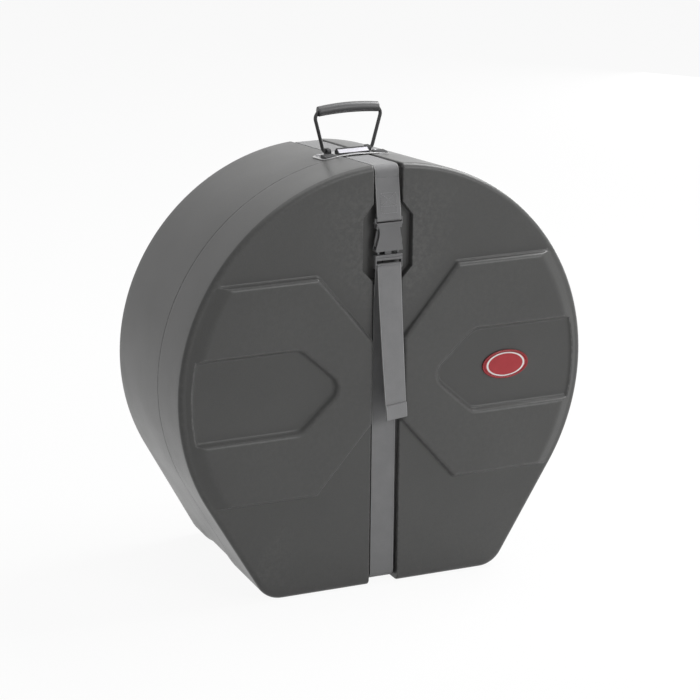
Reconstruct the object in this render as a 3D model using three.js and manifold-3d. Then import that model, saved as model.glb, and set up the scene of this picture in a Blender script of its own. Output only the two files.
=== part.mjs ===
// Round drum case with a flat base: a tapered body shell, a push-on lid, a webbing strap with
// a side-release buckle, and a bail handle. Millimetres, +Z up, front face towards -Y.
import * as THREE from 'three';
import { mergeVertices } from 'three/addons/utils/BufferGeometryUtils.js';
import Module from 'manifold-3d';

const wasm = await Module();
wasm.setup();
const lerp = THREE.MathUtils.lerp;

// Fits shared by all pieces
const touchGap = 0.3;
const slideGap = 0.8;
const overrun = 40;

// Shell outline: a circle that runs tangent into two straight flanks and a flat base
const frontRadius = 425;
const taper = 25.5;
const rearRadius = frontRadius - taper;
const baseCut = 6;
const centreHeight = frontRadius - baseCut;
const rearCentreDrop = 10.5;
const frontHalfWidth = 245;
const rearHalfWidth = 230;
const cornerRadius = 55;
const leastCornerRadius = 3;
const rimRadius = 12;
const rearEdgeRadius = 14;
const rearDepth = 387;
const seamDepth = 136;
const wall = 4;

// Tongue of the body that the lid pushes over
const tongueLength = 24;
const tongueWall = 4;
const shoulderDepth = 10;

// Raised panels on the front face, either side of the strap
const panelRise = 12;
const panelTip = 34;
const panelTipHeight = 82;
const panelCorner = 147;
const panelTop = 218;
const panelBottom = 212;
const panelSlope = 4;
const panelChamfer = 36;
const panelRounding = 6;

// Recess in each raised panel, open towards the rim
const recessNose = 88;
const recessShoulder = 182;
const recessHeight = 86;
const recessRounding = 32;
const rimLip = 19;

// Raised panels on the rear face
const rearPanelRise = 8;
const rearPanelChamfer = 46;

// Strap groove round the whole case, and the buckle pocket in the front
const grooveHalfWidth = 30;
const grooveFrontDepth = 10.5;
const grooveTopDepth = 5;
const grooveRearDepth = 8;
const grooveBaseDepth = 10.5;
const grooveFrontBend = 12;
const grooveRearBend = 16;
const pocketDepth = 14;
const pocketHalfWidth = 52;
const pocketRounding = 6;

// Shallow arch under the base, between a front and a rear foot
const archRise = 7;
const archFrontFoot = 22;
const archStart = seamDepth + archFrontFoot;
const archRearFoot = 51;
const archEnd = rearDepth - archRearFoot;
const archRamp = 40;

// Strap
const strapWidth = 50;
const strapThickness = 2;
const flapPivotDrop = 28;
const sewnLength = 24;
const flapPivotHeight = frontRadius - flapPivotDrop;
const sewnHeight = flapPivotHeight - sewnLength;

// Buckle: socket on the upper strap, plug on the lower one
const socketBarDrop = 77;
const socketBarHeight = flapPivotHeight - socketBarDrop;
const socketBarRise = 6;
const socketTop = socketBarHeight - socketBarRise;
const socketLength = 56;
const socketBottom = socketTop - socketLength;
const socketHalfWidth = 29.5;
const socketTopHalfWidth = 26;
const socketWaistHalfWidth = 24.5;
const socketWaistDrop = 12;
const socketWaistHeight = socketTop - socketWaistDrop;
const socketFront = -7.3;
const socketBack = 8.6;
const socketFace = 3;
const socketMouthLip = 4;
const socketWindowHeight = 40;
const socketCheek = 3.2;
const socketBarDepth = -0.5;
const socketBarRadius = 2.6;
const plugBarGap = 7;
const plugBarSize = 11;
const plugBarTop = socketBottom - plugBarGap;
const plugBarBottom = plugBarTop - plugBarSize;
const plugHalfWidth = 28.5;
const plugRail = 3;
const plugFront = -6;
const plugBack = 4.4;
const adjustBarDrop = 11;
const adjustBarHeight = plugBarBottom - adjustBarDrop;
const adjustBarDepth = -2.5;
const adjustBarRadius = 2.8;
const plugRailLip = 2.2;
const plugRailBottom = adjustBarHeight - adjustBarRadius - plugRailLip;
const guideHalfWidth = 7;
const guideFront = -1.6;
const guideBack = 2.6;
const guideLength = 58;
const guideTop = plugBarBottom + guideLength;
const armRootRise = 2.6;
const armRootHeight = plugBarTop + armRootRise;
const armRootPlace = 20.5;
const armRootRadius = 2.3;
const armThickness = 6.4;
const armNeckRise = 5;
const armNeckHeight = socketBottom + armNeckRise;
const armBarb = 29;
const armBarbRise = 13;
const armBarbHeight = socketBottom + armBarbRise;
const armTipRise = 42;
const armTip = socketBottom + armTipRise;
const armTipPlace = 24;
const backLegLength = 63;
const backLegEnd = adjustBarHeight - backLegLength;
const backLegDepth = 6.9;

// Heights of the pocket, round the buckle
const pocketAbove = 31;
const pocketShoulderAbove = 3;
const pocketShoulderBelow = 7;
const pocketBelow = 30;
const pocketTop = socketBarHeight + pocketAbove;
const pocketUpper = socketBarHeight + pocketShoulderAbove;
const pocketLower = adjustBarHeight - pocketShoulderBelow;
const pocketBottom = adjustBarHeight - pocketBelow;
const lowerStrapDrop = 9;
const lowerStrapEnd = pocketBottom - lowerStrapDrop;

// Free end of the strap, hanging in front of the lower strap
const tailLength = 301;
const tailReach = 19;
const tailDrift = 11;
const tailTwist = THREE.MathUtils.degToRad(14);
const tailSteps = 12;

// Badge on the right recess
const badgeInset = 168.5;
const badgePlace = frontRadius - badgeInset;
const badgeHeight = 1.5;
const badgeHalfLength = 50;
const badgeHalfHeight = 29;
const badgeThickness = 3.2;
const badgeRim = 4.5;
const badgeTray = 1.2;
const badgeDome = 1.6;

// Handle
const plateSetback = 7;
const plateFront = seamDepth + plateSetback;
const pivotSetback = 44;
const handleDepth = plateFront + pivotSetback;
const plateHalfLength = 72;
const plateTail = 12;
const plateRear = handleDepth + plateTail;
const plateThickness = 1.5;
const plateRounding = 10;
const earInner = 38.5;
const earOuter = 46.5;
const earHalfDepth = 10;
const earChamfer = 4;
const restInner = 41;
const restOuter = 66.5;
const restSetback = 2;
const restFront = plateFront + restSetback;
const restLength = 23;
const restRear = restFront + restLength;
const wireRadius = 3.5;
const shellTop = topAt(handleDepth) - centreHeight;
const pivotRise = 3.8;
const pivotHeight = shellTop + pivotRise;
const earRise = 6;
const earTop = pivotHeight + earRise;
const restRise = 4.3;
const restTop = shellTop + restRise;
const footReach = 40.5;
const legFoot = 51;
const legShoulder = 70;
const legLength = 70;
const shoulderHeight = pivotHeight + legLength;
const wireBend = 6;
const gripHalfLength = 62.5;
const gripRise = 80.5;
const gripEndHeight = pivotHeight + gripRise;
const gripArch = 3.8;
const gripRadius = 10.3;
const labelHalfLength = 33;
const labelSetback = 12.5;
const labelToeDepth = plateFront + labelSetback;
const labelToeRise = 5.7;
const labelToeHeight = shellTop + labelToeRise;
const labelRun = 11;
const labelCrestDepth = labelToeDepth + labelRun;
const labelCrestRise = 7.4;
const labelCrestHeight = labelToeHeight + labelCrestRise;
const labelCrestWidth = 2;
const labelBackRun = 9.5;
const labelBackDepth = labelCrestDepth + labelBackRun;
const labelBackRise = 1.1;
const labelBackHeight = labelToeHeight + labelBackRise;
const labelBorder = 1.5;
const labelThickness = 0.8;
const labelPocket = 1.4;
const rivetArc = 62;
const rivetAngle = rivetArc / frontRadius;
const rivetSetback = 41;
const rivetDepth = plateFront + rivetSetback;
const rivetSpacing = 16;
const rivetRadius = 2.4;
const rivetHeadRadius = 5;
const rivetHeadHeight = 2;
const backingHalfLength = 9;
const backingHalfDepth = 20;
const backingThickness = 2;

// Foam inside
const padThickness = 12;
const padInset = 16;
const drumRoom = 27.5;
const drumRadius = rearRadius - drumRoom;
const cradleSetback = 29;
const cradleFrontDepth = seamDepth + cradleSetback;
const cradleRearRoom = 32;
const cradleRearDepth = rearDepth - cradleRearRoom;
const cradleInner = 70;
const cradleHeight = 190;

// How finely curves are cut
const arcSteps = 56;
const cornerSteps = 5;
const edgeSteps = 3;
const roundSteps = 18;
const wireSides = 10;
const ringPitch = 95;
const bendSteps = 5;

const rearFace = rearDepth + rearEdgeRadius;
const seamHalfGap = touchGap / 2;

// Colours and finishes
const finish = (color, roughness, metalness) =>
  new THREE.MeshStandardMaterial({ color, roughness, metalness });
const shellFinish = finish(0x5c5c5c, 0.62, 0);
const webbingFinish = finish(0x85868d, 0.9, 0);
const buckleFinish = finish(0x3a3a3c, 0.4, 0);
const wireFinish = finish(0x2b2b2c, 0.45, 0.8);
const gripFinish = finish(0x3c3c3d, 0.6, 0);
const handleFinish = finish(0x161617, 0.35, 0);
const steelFinish = finish(0xc8c8ca, 0.3, 1);
const labelFinish = finish(0xdcdce4, 0.4, 0);
const badgeRimFinish = finish(0x9c1f2a, 0.25, 0);
const badgeFinish = finish(0xa8202c, 0.25, 0);
const foamFinish = finish(0x2a2a2c, 0.95, 0);

const assembly = new THREE.Group();

function addPiece(name, solid, material) {
  const mesh = new THREE.Mesh(toGeometry(solid), material.clone());
  mesh.name = name;
  assembly.add(mesh);
}

function toSolid(geometry) {
  const bare = geometry.clone();
  bare.deleteAttribute('normal');
  bare.deleteAttribute('uv');
  const merged = mergeVertices(bare);
  const vertProperties = new Float32Array(merged.attributes.position.array);
  const triVerts = new Uint32Array(merged.index.array);
  return new wasm.Manifold(new wasm.Mesh({ numProp: 3, vertProperties, triVerts }));
}

function toGeometry(solid) {
  const mesh = solid.getMesh();
  const geometry = new THREE.BufferGeometry();
  geometry.setAttribute('position', new THREE.BufferAttribute(mesh.vertProperties, 3));
  geometry.setIndex(new THREE.BufferAttribute(mesh.triVerts, 1));
  return geometry;
}

// Closed solid through rings of equal count that each run anticlockwise seen from the first ring's side
function loft(rings) {
  const count = rings[0].length;
  const index = [];
  const last = (rings.length - 1) * count;
  for (let ring = 0; ring + 1 < rings.length; ring += 1) {
    for (let i = 0; i < count; i += 1) {
      const near = ring * count + i;
      const nearNext = ring * count + ((i + 1) % count);
      index.push(near, near + count, nearNext + count, near, nearNext + count, nearNext);
    }
  }
  for (let i = 1; i + 1 < count; i += 1) {
    index.push(0, i, i + 1, last, last + i + 1, last + i);
  }
  const geometry = new THREE.BufferGeometry().setFromPoints(rings.flat());
  geometry.setIndex(index);
  return toSolid(geometry);
}

const atDepth = (points, depth) => points.map(([x, z]) => new THREE.Vector3(x, depth, z));

// Prism between two outlines in the X-Z plane, the first one in front
function prism(frontPoints, front, rearPoints, rear) {
  return loft([atDepth(frontPoints, front), atDepth(rearPoints, rear)]);
}

// Prism along X of an outline in the Y-Z plane
function slab(points, halfWidth) {
  const ring = (x) => points.map(([y, z]) => new THREE.Vector3(x, y, z));
  return loft([ring(halfWidth), ring(-halfWidth)]);
}

function block(left, right, front, rear, low, high) {
  const geometry = new THREE.BoxGeometry(right - left, rear - front, high - low);
  geometry.translate((left + right) / 2, (front + rear) / 2, (low + high) / 2);
  return toSolid(geometry);
}

// Block of the right half, or of the left half where side is -1
function sideBlock(side, inner, outer, front, rear, low, high) {
  const right = block(inner, outer, front, rear, low, high);
  return side > 0 ? right : right.mirror([1, 0, 0]);
}

// Round bar along X
function barAcross(radius, left, right, depth, height) {
  const geometry = new THREE.CylinderGeometry(radius, radius, right - left, roundSteps);
  geometry.rotateZ(Math.PI / 2);
  geometry.translate((left + right) / 2, depth, height);
  return toSolid(geometry);
}

// Convex outline moved outwards by a distance
function offsetOutline(points, distance) {
  const count = points.length;
  const lines = points.map(([x, z], i) => {
    const [nextX, nextZ] = points[(i + 1) % count];
    const length = Math.hypot(nextX - x, nextZ - z);
    const normal = [(nextZ - z) / length, (x - nextX) / length];
    return { normal, reach: normal[0] * x + normal[1] * z + distance };
  });
  return lines.map((line, i) => {
    const before = lines[(i + count - 1) % count];
    const cross = before.normal[0] * line.normal[1] - before.normal[1] * line.normal[0];
    return [
      (before.reach * line.normal[1] - line.reach * before.normal[1]) / cross,
      (line.reach * before.normal[0] - before.reach * line.normal[0]) / cross,
    ];
  });
}

// Convex outline moved outwards, with each corner rounded
function roundedOutline(corners, distance, radii) {
  const sharp = offsetOutline(corners, distance);
  const centres = sharp.map((corner, i) => {
    const radius = Math.max(radii[i % radii.length] + distance, leastCornerRadius);
    return { corner, radius, centre: offsetOutline(sharp, -radius)[i] };
  });
  return centres.flatMap(({ radius, centre }, i) => {
    const from = edgeAngle(sharp, i - 1);
    const turn = (edgeAngle(sharp, i) - from + 2 * Math.PI) % (2 * Math.PI);
    return Array.from({ length: bendSteps + 1 }, (_, step) => {
      const angle = from + (turn * step) / bendSteps;
      return [centre[0] + radius * Math.cos(angle), centre[1] + radius * Math.sin(angle)];
    });
  });
}

// Direction of an edge's outward normal
function edgeAngle(points, i) {
  const from = points[(i + points.length) % points.length];
  const to = points[(i + 1) % points.length];
  return Math.atan2(from[0] - to[0], to[1] - from[1]);
}

// The shell's circle and base at a depth behind the front face
function sectionAt(depth) {
  const share = (depth - rimRadius) / (rearDepth - rimRadius);
  return {
    radius: lerp(frontRadius, rearRadius, share),
    centre: centreHeight - rearCentreDrop * share,
    halfWidth: lerp(frontHalfWidth, rearHalfWidth, share),
  };
}

function topAt(depth) {
  const { centre, radius } = sectionAt(depth);
  return centre + radius;
}

// Shell outline at a depth, moved inwards by inset
function shellRing(depth, inset) {
  const { radius, centre, halfWidth } = sectionAt(depth);
  const flank = Math.atan2(-centre, halfWidth) + Math.acos(radius / Math.hypot(centre, halfWidth));
  const reach = radius - inset;
  const corner = Math.max(cornerRadius - inset, leastCornerRadius);
  const cornerZ = inset + corner;
  const cornerX = (reach - corner - (cornerZ - centre) * Math.sin(flank)) / Math.cos(flank);
  const arc = (x, z, size, from, to, steps) =>
    Array.from({ length: steps + 1 }, (_, i) => {
      const angle = lerp(from, to, i / steps);
      return new THREE.Vector3(x + size * Math.cos(angle), depth, z + size * Math.sin(angle));
    });
  return [
    ...arc(cornerX, cornerZ, corner, -Math.PI / 2, flank, cornerSteps),
    ...arc(0, centre, reach, flank, Math.PI - flank, arcSteps),
    ...arc(-cornerX, cornerZ, corner, Math.PI - flank, (3 * Math.PI) / 2, cornerSteps),
  ];
}

// Solid between depths, with rounded front and rear edges where a radius is given
function shellSolid({ front, rear, inset = 0, frontRound = 0, rearRound = 0 }) {
  const rings = [];
  for (let i = 0; frontRound > 0 && i < edgeSteps; i += 1) {
    const angle = (i / edgeSteps) * (Math.PI / 2);
    const depth = front + frontRound * (1 - Math.cos(angle));
    rings.push(shellRing(depth, inset + frontRound * (1 - Math.sin(angle))));
  }
  const straight = rear - rearRound - front - frontRound;
  const spans = Math.ceil(straight / ringPitch);
  for (let i = 0; i <= spans; i += 1) {
    rings.push(shellRing(front + frontRound + (straight * i) / spans, inset));
  }
  for (let i = 1; rearRound > 0 && i <= edgeSteps; i += 1) {
    const angle = (i / edgeSteps) * (Math.PI / 2);
    const depth = rear - rearRound * (1 - Math.sin(angle));
    rings.push(shellRing(depth, inset + rearRound * (1 - Math.cos(angle))));
  }
  return loft(rings);
}

// The strap's way round the case: the groove floor's outline in the Y-Z plane, lifted outwards
function loopOutline(lift) {
  const rear = rearFace - grooveRearDepth;
  const corners = [
    [grooveFrontDepth, grooveBaseDepth],
    [rear, grooveBaseDepth],
    [rear, topAt(rear) - grooveTopDepth],
    [grooveFrontDepth, topAt(grooveFrontDepth) - grooveTopDepth],
  ];
  return roundedOutline(corners, lift, [grooveFrontBend, grooveRearBend, grooveRearBend, grooveFrontBend]);
}

// Everything outside the groove floor, within a width
function grooveCut(halfWidth, lift) {
  const space = block(
    -halfWidth, halfWidth, -overrun, rearFace + overrun, -overrun, topAt(0) + overrun,
  );
  return space.subtract(slab(loopOutline(lift), halfWidth + overrun));
}

const mirrored = (points) => points.map(([x, z]) => [-x, z]).reverse();

function panelOutline() {
  const reach = frontRadius + overrun;
  return [
    [panelTip, centreHeight - panelTipHeight],
    [panelCorner, centreHeight - panelBottom],
    [reach, centreHeight - panelBottom],
    [reach, centreHeight + panelTop],
    [panelCorner, centreHeight + panelTop],
    [panelTip, centreHeight + panelTipHeight],
  ];
}

function recessOutline() {
  const reach = frontRadius + overrun;
  return [
    [recessNose, centreHeight],
    [recessShoulder, centreHeight - recessHeight],
    [reach, centreHeight - recessHeight],
    [reach, centreHeight + recessHeight],
    [recessShoulder, centreHeight + recessHeight],
  ];
}

function pocketOutline() {
  const neck = grooveHalfWidth;
  const right = [
    [neck, centreHeight + pocketBottom],
    [pocketHalfWidth, centreHeight + pocketLower],
    [pocketHalfWidth, centreHeight + pocketUpper],
    [neck, centreHeight + pocketTop],
  ];
  return [...right, ...mirrored(right)];
}

// Sloped prism of a rounded outline: wide at one depth, moved by slope at the other
function slopedPrism(corners, radius, front, frontOffset, rear, rearOffset) {
  return prism(
    roundedOutline(corners, frontOffset, [radius]), front,
    roundedOutline(corners, rearOffset, [radius]), rear,
  );
}

// Raised panels of the front face, solid, moved inwards by inset for their hollow side
function frontPanels(inset) {
  const face = inset - panelRise;
  const root = inset + wall / 2;
  const crown = loft([
    shellRing(face, panelChamfer + inset),
    shellRing(inset, rimRadius + inset),
    shellRing(root, rimRadius + inset),
  ]);
  const panel = (outline, recess) =>
    slopedPrism(outline, panelRounding, face, -inset, inset, panelSlope - inset)
      .add(slopedPrism(outline, panelRounding, inset, panelSlope - inset, root, panelSlope - inset))
      .subtract(panelRecess(recess, inset));
  const right = panel(panelOutline(), recessOutline());
  const left = panel(mirrored(panelOutline()), mirrored(recessOutline()));
  return crown.intersect(right.add(left));
}

// Recess of one front panel, with its floor at the level of the plain face
function panelRecess(outline, inset) {
  const lip = shellSolid({ front: -overrun, rear: overrun, inset: rimLip - inset });
  return slopedPrism(outline, recessRounding, inset - panelRise, inset, inset, inset - panelSlope)
    .add(slopedPrism(outline, recessRounding, -overrun, inset, inset - panelRise, inset))
    .intersect(lip);
}

function rearPanels(inset) {
  const face = rearFace + rearPanelRise - inset;
  const root = rearFace - inset - wall / 2;
  const crown = loft([
    shellRing(root, rearEdgeRadius + inset),
    shellRing(rearFace - inset, rearEdgeRadius + inset),
    shellRing(face, rearPanelChamfer + inset),
  ]);
  const panel = (outline) =>
    slopedPrism(outline, panelRounding, root, panelSlope - inset, rearFace - inset, panelSlope - inset)
      .add(slopedPrism(outline, panelRounding, rearFace - inset, panelSlope - inset, face, -inset));
  return crown.intersect(panel(panelOutline()).add(panel(mirrored(panelOutline()))));
}

const pocketCut = (inset) =>
  slopedPrism(pocketOutline(), pocketRounding, -overrun, inset, pocketDepth + inset, inset);

// Lid: front face with its relief, and a skirt back to the seam
function lidShell() {
  const outside = shellSolid({ front: 0, rear: seamDepth - seamHalfGap, frontRound: rimRadius })
    .add(frontPanels(0))
    .subtract(grooveCut(grooveHalfWidth, 0))
    .subtract(pocketCut(0));
  const inside = shellSolid({
    front: wall, rear: seamDepth + overrun, inset: wall, frontRound: rimRadius - wall,
  });
  const hollow = inside
    .add(frontPanels(wall))
    .subtract(grooveCut(grooveHalfWidth + wall, -wall))
    .subtract(pocketCut(wall));
  return outside.subtract(hollow);
}

// Outline of the arch under the base, raised by lift
function archCut(lift) {
  const outline = [
    [archStart - lift, -overrun],
    [archEnd + lift, -overrun],
    [archEnd + lift, lift],
    [archEnd - archRamp, archRise + lift],
    [archStart + archRamp, archRise + lift],
    [archStart - lift, lift],
  ];
  return slab(outline, frontRadius + overrun);
}

// Body: a tapered drum with a tongue at its mouth
function bodyShell() {
  const tongueInset = wall + slideGap;
  const mouthInset = tongueInset + tongueWall;
  const keyWidth = grooveHalfWidth + wall + slideGap;
  const collar = shellSolid({
    front: seamDepth - tongueLength, rear: seamDepth + shoulderDepth, inset: tongueInset,
  });
  const keyway = block(-keyWidth, keyWidth, 0, seamDepth, -overrun, topAt(0) + overrun);
  const drum = shellSolid({
    front: seamDepth + seamHalfGap, rear: rearFace, rearRound: rearEdgeRadius,
  });
  const outside = drum
    .add(rearPanels(0))
    .add(collar.subtract(keyway))
    .subtract(grooveCut(grooveHalfWidth, 0))
    .subtract(archCut(0));
  const mouth = loft([
    shellRing(0, mouthInset),
    shellRing(seamDepth + shoulderDepth, mouthInset),
    shellRing(seamDepth + 2 * shoulderDepth, wall),
  ]);
  const inside = shellSolid({
    front: seamDepth + 2 * shoulderDepth,
    rear: rearFace - wall,
    inset: wall,
    rearRound: rearEdgeRadius - wall,
  });
  const hollow = inside
    .add(mouth)
    .add(rearPanels(wall))
    .subtract(grooveCut(grooveHalfWidth + wall, -wall))
    .subtract(archCut(wall));
  let shell = outside.subtract(hollow);
  for (const place of rivetPlaces) {
    shell = shell.subtract(rivetHole(place));
  }
  return shell;
}

// Frame on the shell's surface at a depth and an angle from the top: Z points outwards
function surfaceFrame(depth, angle) {
  const { centre } = sectionAt(depth);
  const slope = Math.atan2(topAt(rimRadius) - topAt(rearDepth), rearDepth - rimRadius);
  return new THREE.Matrix4()
    .makeTranslation(0, depth, centre)
    .multiply(new THREE.Matrix4().makeRotationY(angle))
    .multiply(new THREE.Matrix4().makeTranslation(0, 0, sectionAt(depth).radius))
    .multiply(new THREE.Matrix4().makeRotationX(-slope));
}

// Round pin along the local Z of a frame
function pinAt(frame, radius, low, high) {
  const geometry = new THREE.CylinderGeometry(radius, radius, high - low, roundSteps);
  geometry.rotateX(Math.PI / 2);
  geometry.translate(0, 0, (low + high) / 2);
  geometry.applyMatrix4(frame);
  return toSolid(geometry);
}

const rivetPlaces = [-1, 1].flatMap((side) =>
  [-1, 1].map((end) => surfaceFrame(rivetDepth + (end * rivetSpacing) / 2, side * rivetAngle)));

const rivetHole = (frame) => pinAt(frame, rivetRadius + touchGap, -overrun, overrun);

// Plate between two offsets of the shell's surface
function surfaceLayer(low, high, left, right, front, rear) {
  const bounds = block(left, right, front, rear, centreHeight, topAt(0) + overrun);
  const layer = (inset) => shellSolid({ front: front - overrun, rear: rear + overrun, inset });
  return bounds.intersect(layer(-high)).subtract(layer(-low));
}

function rivet(frame) {
  const top = touchGap + plateThickness + touchGap;
  const bottom = -wall - touchGap - backingThickness - touchGap;
  return pinAt(frame, rivetRadius, bottom - rivetHeadHeight, top + rivetHeadHeight)
    .add(pinAt(frame, rivetHeadRadius, top, top + rivetHeadHeight))
    .add(pinAt(frame, rivetHeadRadius, bottom - rivetHeadHeight, bottom));
}

// Handle base: a plate with rounded ends that follows the shell
function handlePlate() {
  const halfLength = plateHalfLength;
  const outline = roundedOutline([
    [-halfLength, plateFront],
    [halfLength, plateFront],
    [halfLength, plateRear],
    [-halfLength, plateRear],
  ], 0, [plateRounding]);
  const ring = (z) => outline.map(([x, y]) => new THREE.Vector3(x, y, z));
  const footprint = loft([ring(topAt(0) + overrun), ring(centreHeight)]);
  let plate = surfaceLayer(
    touchGap, touchGap + plateThickness, -halfLength, halfLength, plateFront, plateRear,
  ).intersect(footprint);
  for (const place of rivetPlaces) {
    plate = plate.subtract(rivetHole(place));
  }
  return plate;
}

// Everything below the top of the handle plate
const underPlate = () => shellSolid({
  front: plateFront - overrun, rear: plateRear + overrun, inset: -(touchGap + plateThickness + touchGap),
});

// Ear on the handle plate, bored for one of the bail's feet
function handleEar(side) {
  const low = centreHeight + pivotHeight - overrun;
  const outline = [
    [handleDepth - earHalfDepth, low],
    [handleDepth + earHalfDepth, low],
    [handleDepth + earHalfDepth, centreHeight + earTop - earChamfer],
    [handleDepth + earHalfDepth - earChamfer, centreHeight + earTop],
    [handleDepth - earHalfDepth + earChamfer, centreHeight + earTop],
    [handleDepth - earHalfDepth, centreHeight + earTop - earChamfer],
  ];
  const ear = slab(outline, (earOuter - earInner) / 2)
    .translate((earInner + earOuter) / 2, 0, 0)
    .subtract(underPlate())
    .subtract(barAcross(
      wireRadius + slideGap, footReach - slideGap, legFoot, handleDepth, centreHeight + pivotHeight,
    ));
  return side > 0 ? ear : ear.mirror([1, 0, 0]);
}

// Block on the handle plate that the folded bail comes to rest on
function handleRest(side) {
  const high = centreHeight + restTop;
  return sideBlock(side, restInner, restOuter, restFront, restRear, high - overrun, high)
    .subtract(underPlate());
}

// The bail's centre line: feet turned inwards into the ears, legs that splay, and an arched top
function bailCurve() {
  const height = (rise) => centreHeight + rise;
  const point = (x, z) => new THREE.Vector3(x, handleDepth, z);
  const right = [
    point(footReach, height(pivotHeight)),
    point(legFoot, height(pivotHeight)),
    point(legShoulder, height(shoulderHeight)),
    point(gripHalfLength, height(gripEndHeight)),
  ];
  const corners = [...right, ...right.map(({ x, z }) => point(-x, z)).reverse()];
  const crown = point(0, height(gripEndHeight + 2 * gripArch));
  const path = new THREE.CurvePath();
  let start = corners[0];
  for (let i = 1; i + 1 < corners.length; i += 1) {
    const before = corners[i - 1].clone().sub(corners[i]).normalize();
    const after = corners[i + 1].clone().sub(corners[i]).normalize();
    const isFirstGripEnd = i === right.length - 1;
    const isGripEnd = isFirstGripEnd || i === right.length;
    if (isFirstGripEnd) {
      path.add(new THREE.LineCurve3(start, corners[i]));
      path.add(new THREE.QuadraticBezierCurve3(corners[i], crown, corners[i + 1]));
      start = corners[i + 1];
    }
    if (!isGripEnd) {
      const bendStart = corners[i].clone().addScaledVector(before, wireBend);
      const bendEnd = corners[i].clone().addScaledVector(after, wireBend);
      path.add(new THREE.LineCurve3(start, bendStart));
      path.add(new THREE.QuadraticBezierCurve3(bendStart, corners[i], bendEnd));
      start = bendEnd;
    }
  }
  path.add(new THREE.LineCurve3(start, corners.at(-1)));
  return path;
}

// Round tube through the points of a curve path, square at its ends
function tubeAlong(points, radius) {
  const rings = points.map((centre, i) => {
    const before = points[Math.max(i - 1, 0)];
    const after = points[Math.min(i + 1, points.length - 1)];
    const along = after.clone().sub(before).normalize();
    const side = new THREE.Vector3(0, 1, 0);
    const up = new THREE.Vector3().crossVectors(side, along);
    return Array.from({ length: wireSides }, (_, step) => {
      const angle = (2 * Math.PI * step) / wireSides;
      return centre.clone()
        .addScaledVector(side, radius * Math.cos(angle))
        .addScaledVector(up, radius * Math.sin(angle));
    });
  });
  return loft(rings);
}

function bailPoints() {
  return bailCurve().curves.flatMap((curve, i) => {
    const steps = curve.isLineCurve3 ? 1 : 2 * bendSteps;
    const points = curve.getPoints(steps);
    return i === 0 ? points : points.slice(1);
  });
}

function gripPoints() {
  const end = new THREE.Vector3(gripHalfLength, handleDepth, centreHeight + gripEndHeight);
  const top = new THREE.Vector3(0, handleDepth, centreHeight + gripEndHeight + 2 * gripArch);
  const other = end.clone().setX(-gripHalfLength);
  return new THREE.QuadraticBezierCurve3(end, top, other).getPoints(2 * bendSteps);
}

function handleGrip() {
  return tubeAlong(gripPoints(), gripRadius).subtract(tubeAlong(bailPoints(), wireRadius + touchGap));
}

// Label holder on the handle plate, with a tray for the card in its sloping face
function labelPieces() {
  const toe = [labelToeDepth, centreHeight + labelToeHeight];
  const crest = [labelCrestDepth, centreHeight + labelCrestHeight];
  const low = toe[1] - overrun;
  const wedge = slab([
    [labelToeDepth, low],
    [labelBackDepth, low],
    [labelBackDepth, centreHeight + labelBackHeight],
    [labelCrestDepth + labelCrestWidth, crest[1]],
    crest,
    toe,
  ], labelHalfLength).subtract(underPlate());
  const length = Math.hypot(crest[0] - toe[0], crest[1] - toe[1]);
  const along = [(crest[0] - toe[0]) / length, (crest[1] - toe[1]) / length];
  const onSlope = (run, rise) =>
    [toe[0] + run * along[0] - rise * along[1], toe[1] + run * along[1] + rise * along[0]];
  const layer = (border, bottom, top) => slab([
    onSlope(border, bottom),
    onSlope(length - border, bottom),
    onSlope(length - border, top),
    onSlope(border, top),
  ], labelHalfLength - border);
  const cardLow = touchGap - labelPocket;
  return {
    frame: wedge.subtract(layer(labelBorder, -labelPocket, overrun)),
    card: layer(labelBorder + touchGap, cardLow, cardLow + labelThickness),
  };
}

// Backing plate under the shell, below the two rivets of one side
function backingPlate(side) {
  const place = side * sectionAt(rivetDepth).radius * Math.sin(rivetAngle);
  const top = -wall - touchGap;
  let plate = surfaceLayer(
    top - backingThickness, top, place - backingHalfLength, place + backingHalfLength,
    rivetDepth - backingHalfDepth, rivetDepth + backingHalfDepth,
  );
  for (const frame of rivetPlaces) {
    plate = plate.subtract(rivetHole(frame));
  }
  return plate;
}

// One layer of webbing all round the case, in its groove
function strapLoop() {
  return slab(loopOutline(touchGap + strapThickness), strapWidth / 2)
    .subtract(slab(loopOutline(touchGap), strapWidth / 2 + overrun));
}

const flapPivotDepth = grooveFrontDepth - touchGap - strapThickness / 2;
const topEnd = centreHeight + flapPivotHeight + strapThickness / 2 + touchGap;

function strapStretches() {
  const loop = strapLoop();
  const half = strapWidth;
  const front = -overrun;
  const above = topAt(0) + overrun;
  return {
    body: loop.intersect(block(-half, half, seamDepth + seamHalfGap, rearFace + overrun, -overrun, above)),
    lidTop: loop.intersect(block(-half, half, front, seamDepth - seamHalfGap, topEnd, above)),
    lidLower: loop.intersect(
      block(-half, half, front, seamDepth - seamHalfGap, -overrun, centreHeight + lowerStrapEnd),
    ),
  };
}

// Flat webbing between two points of the Y-Z plane, with half-round ends
function webbing(from, to, thickness) {
  const along = Math.atan2(to[1] - from[1], to[0] - from[0]);
  const cap = (centre, turn) =>
    Array.from({ length: bendSteps + 1 }, (_, i) => {
      const angle = along + turn + (Math.PI * i) / bendSteps;
      return [centre[0] + (thickness / 2) * Math.cos(angle), centre[1] + (thickness / 2) * Math.sin(angle)];
    });
  return slab([...cap(to, -Math.PI / 2), ...cap(from, Math.PI / 2)], strapWidth / 2);
}

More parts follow.
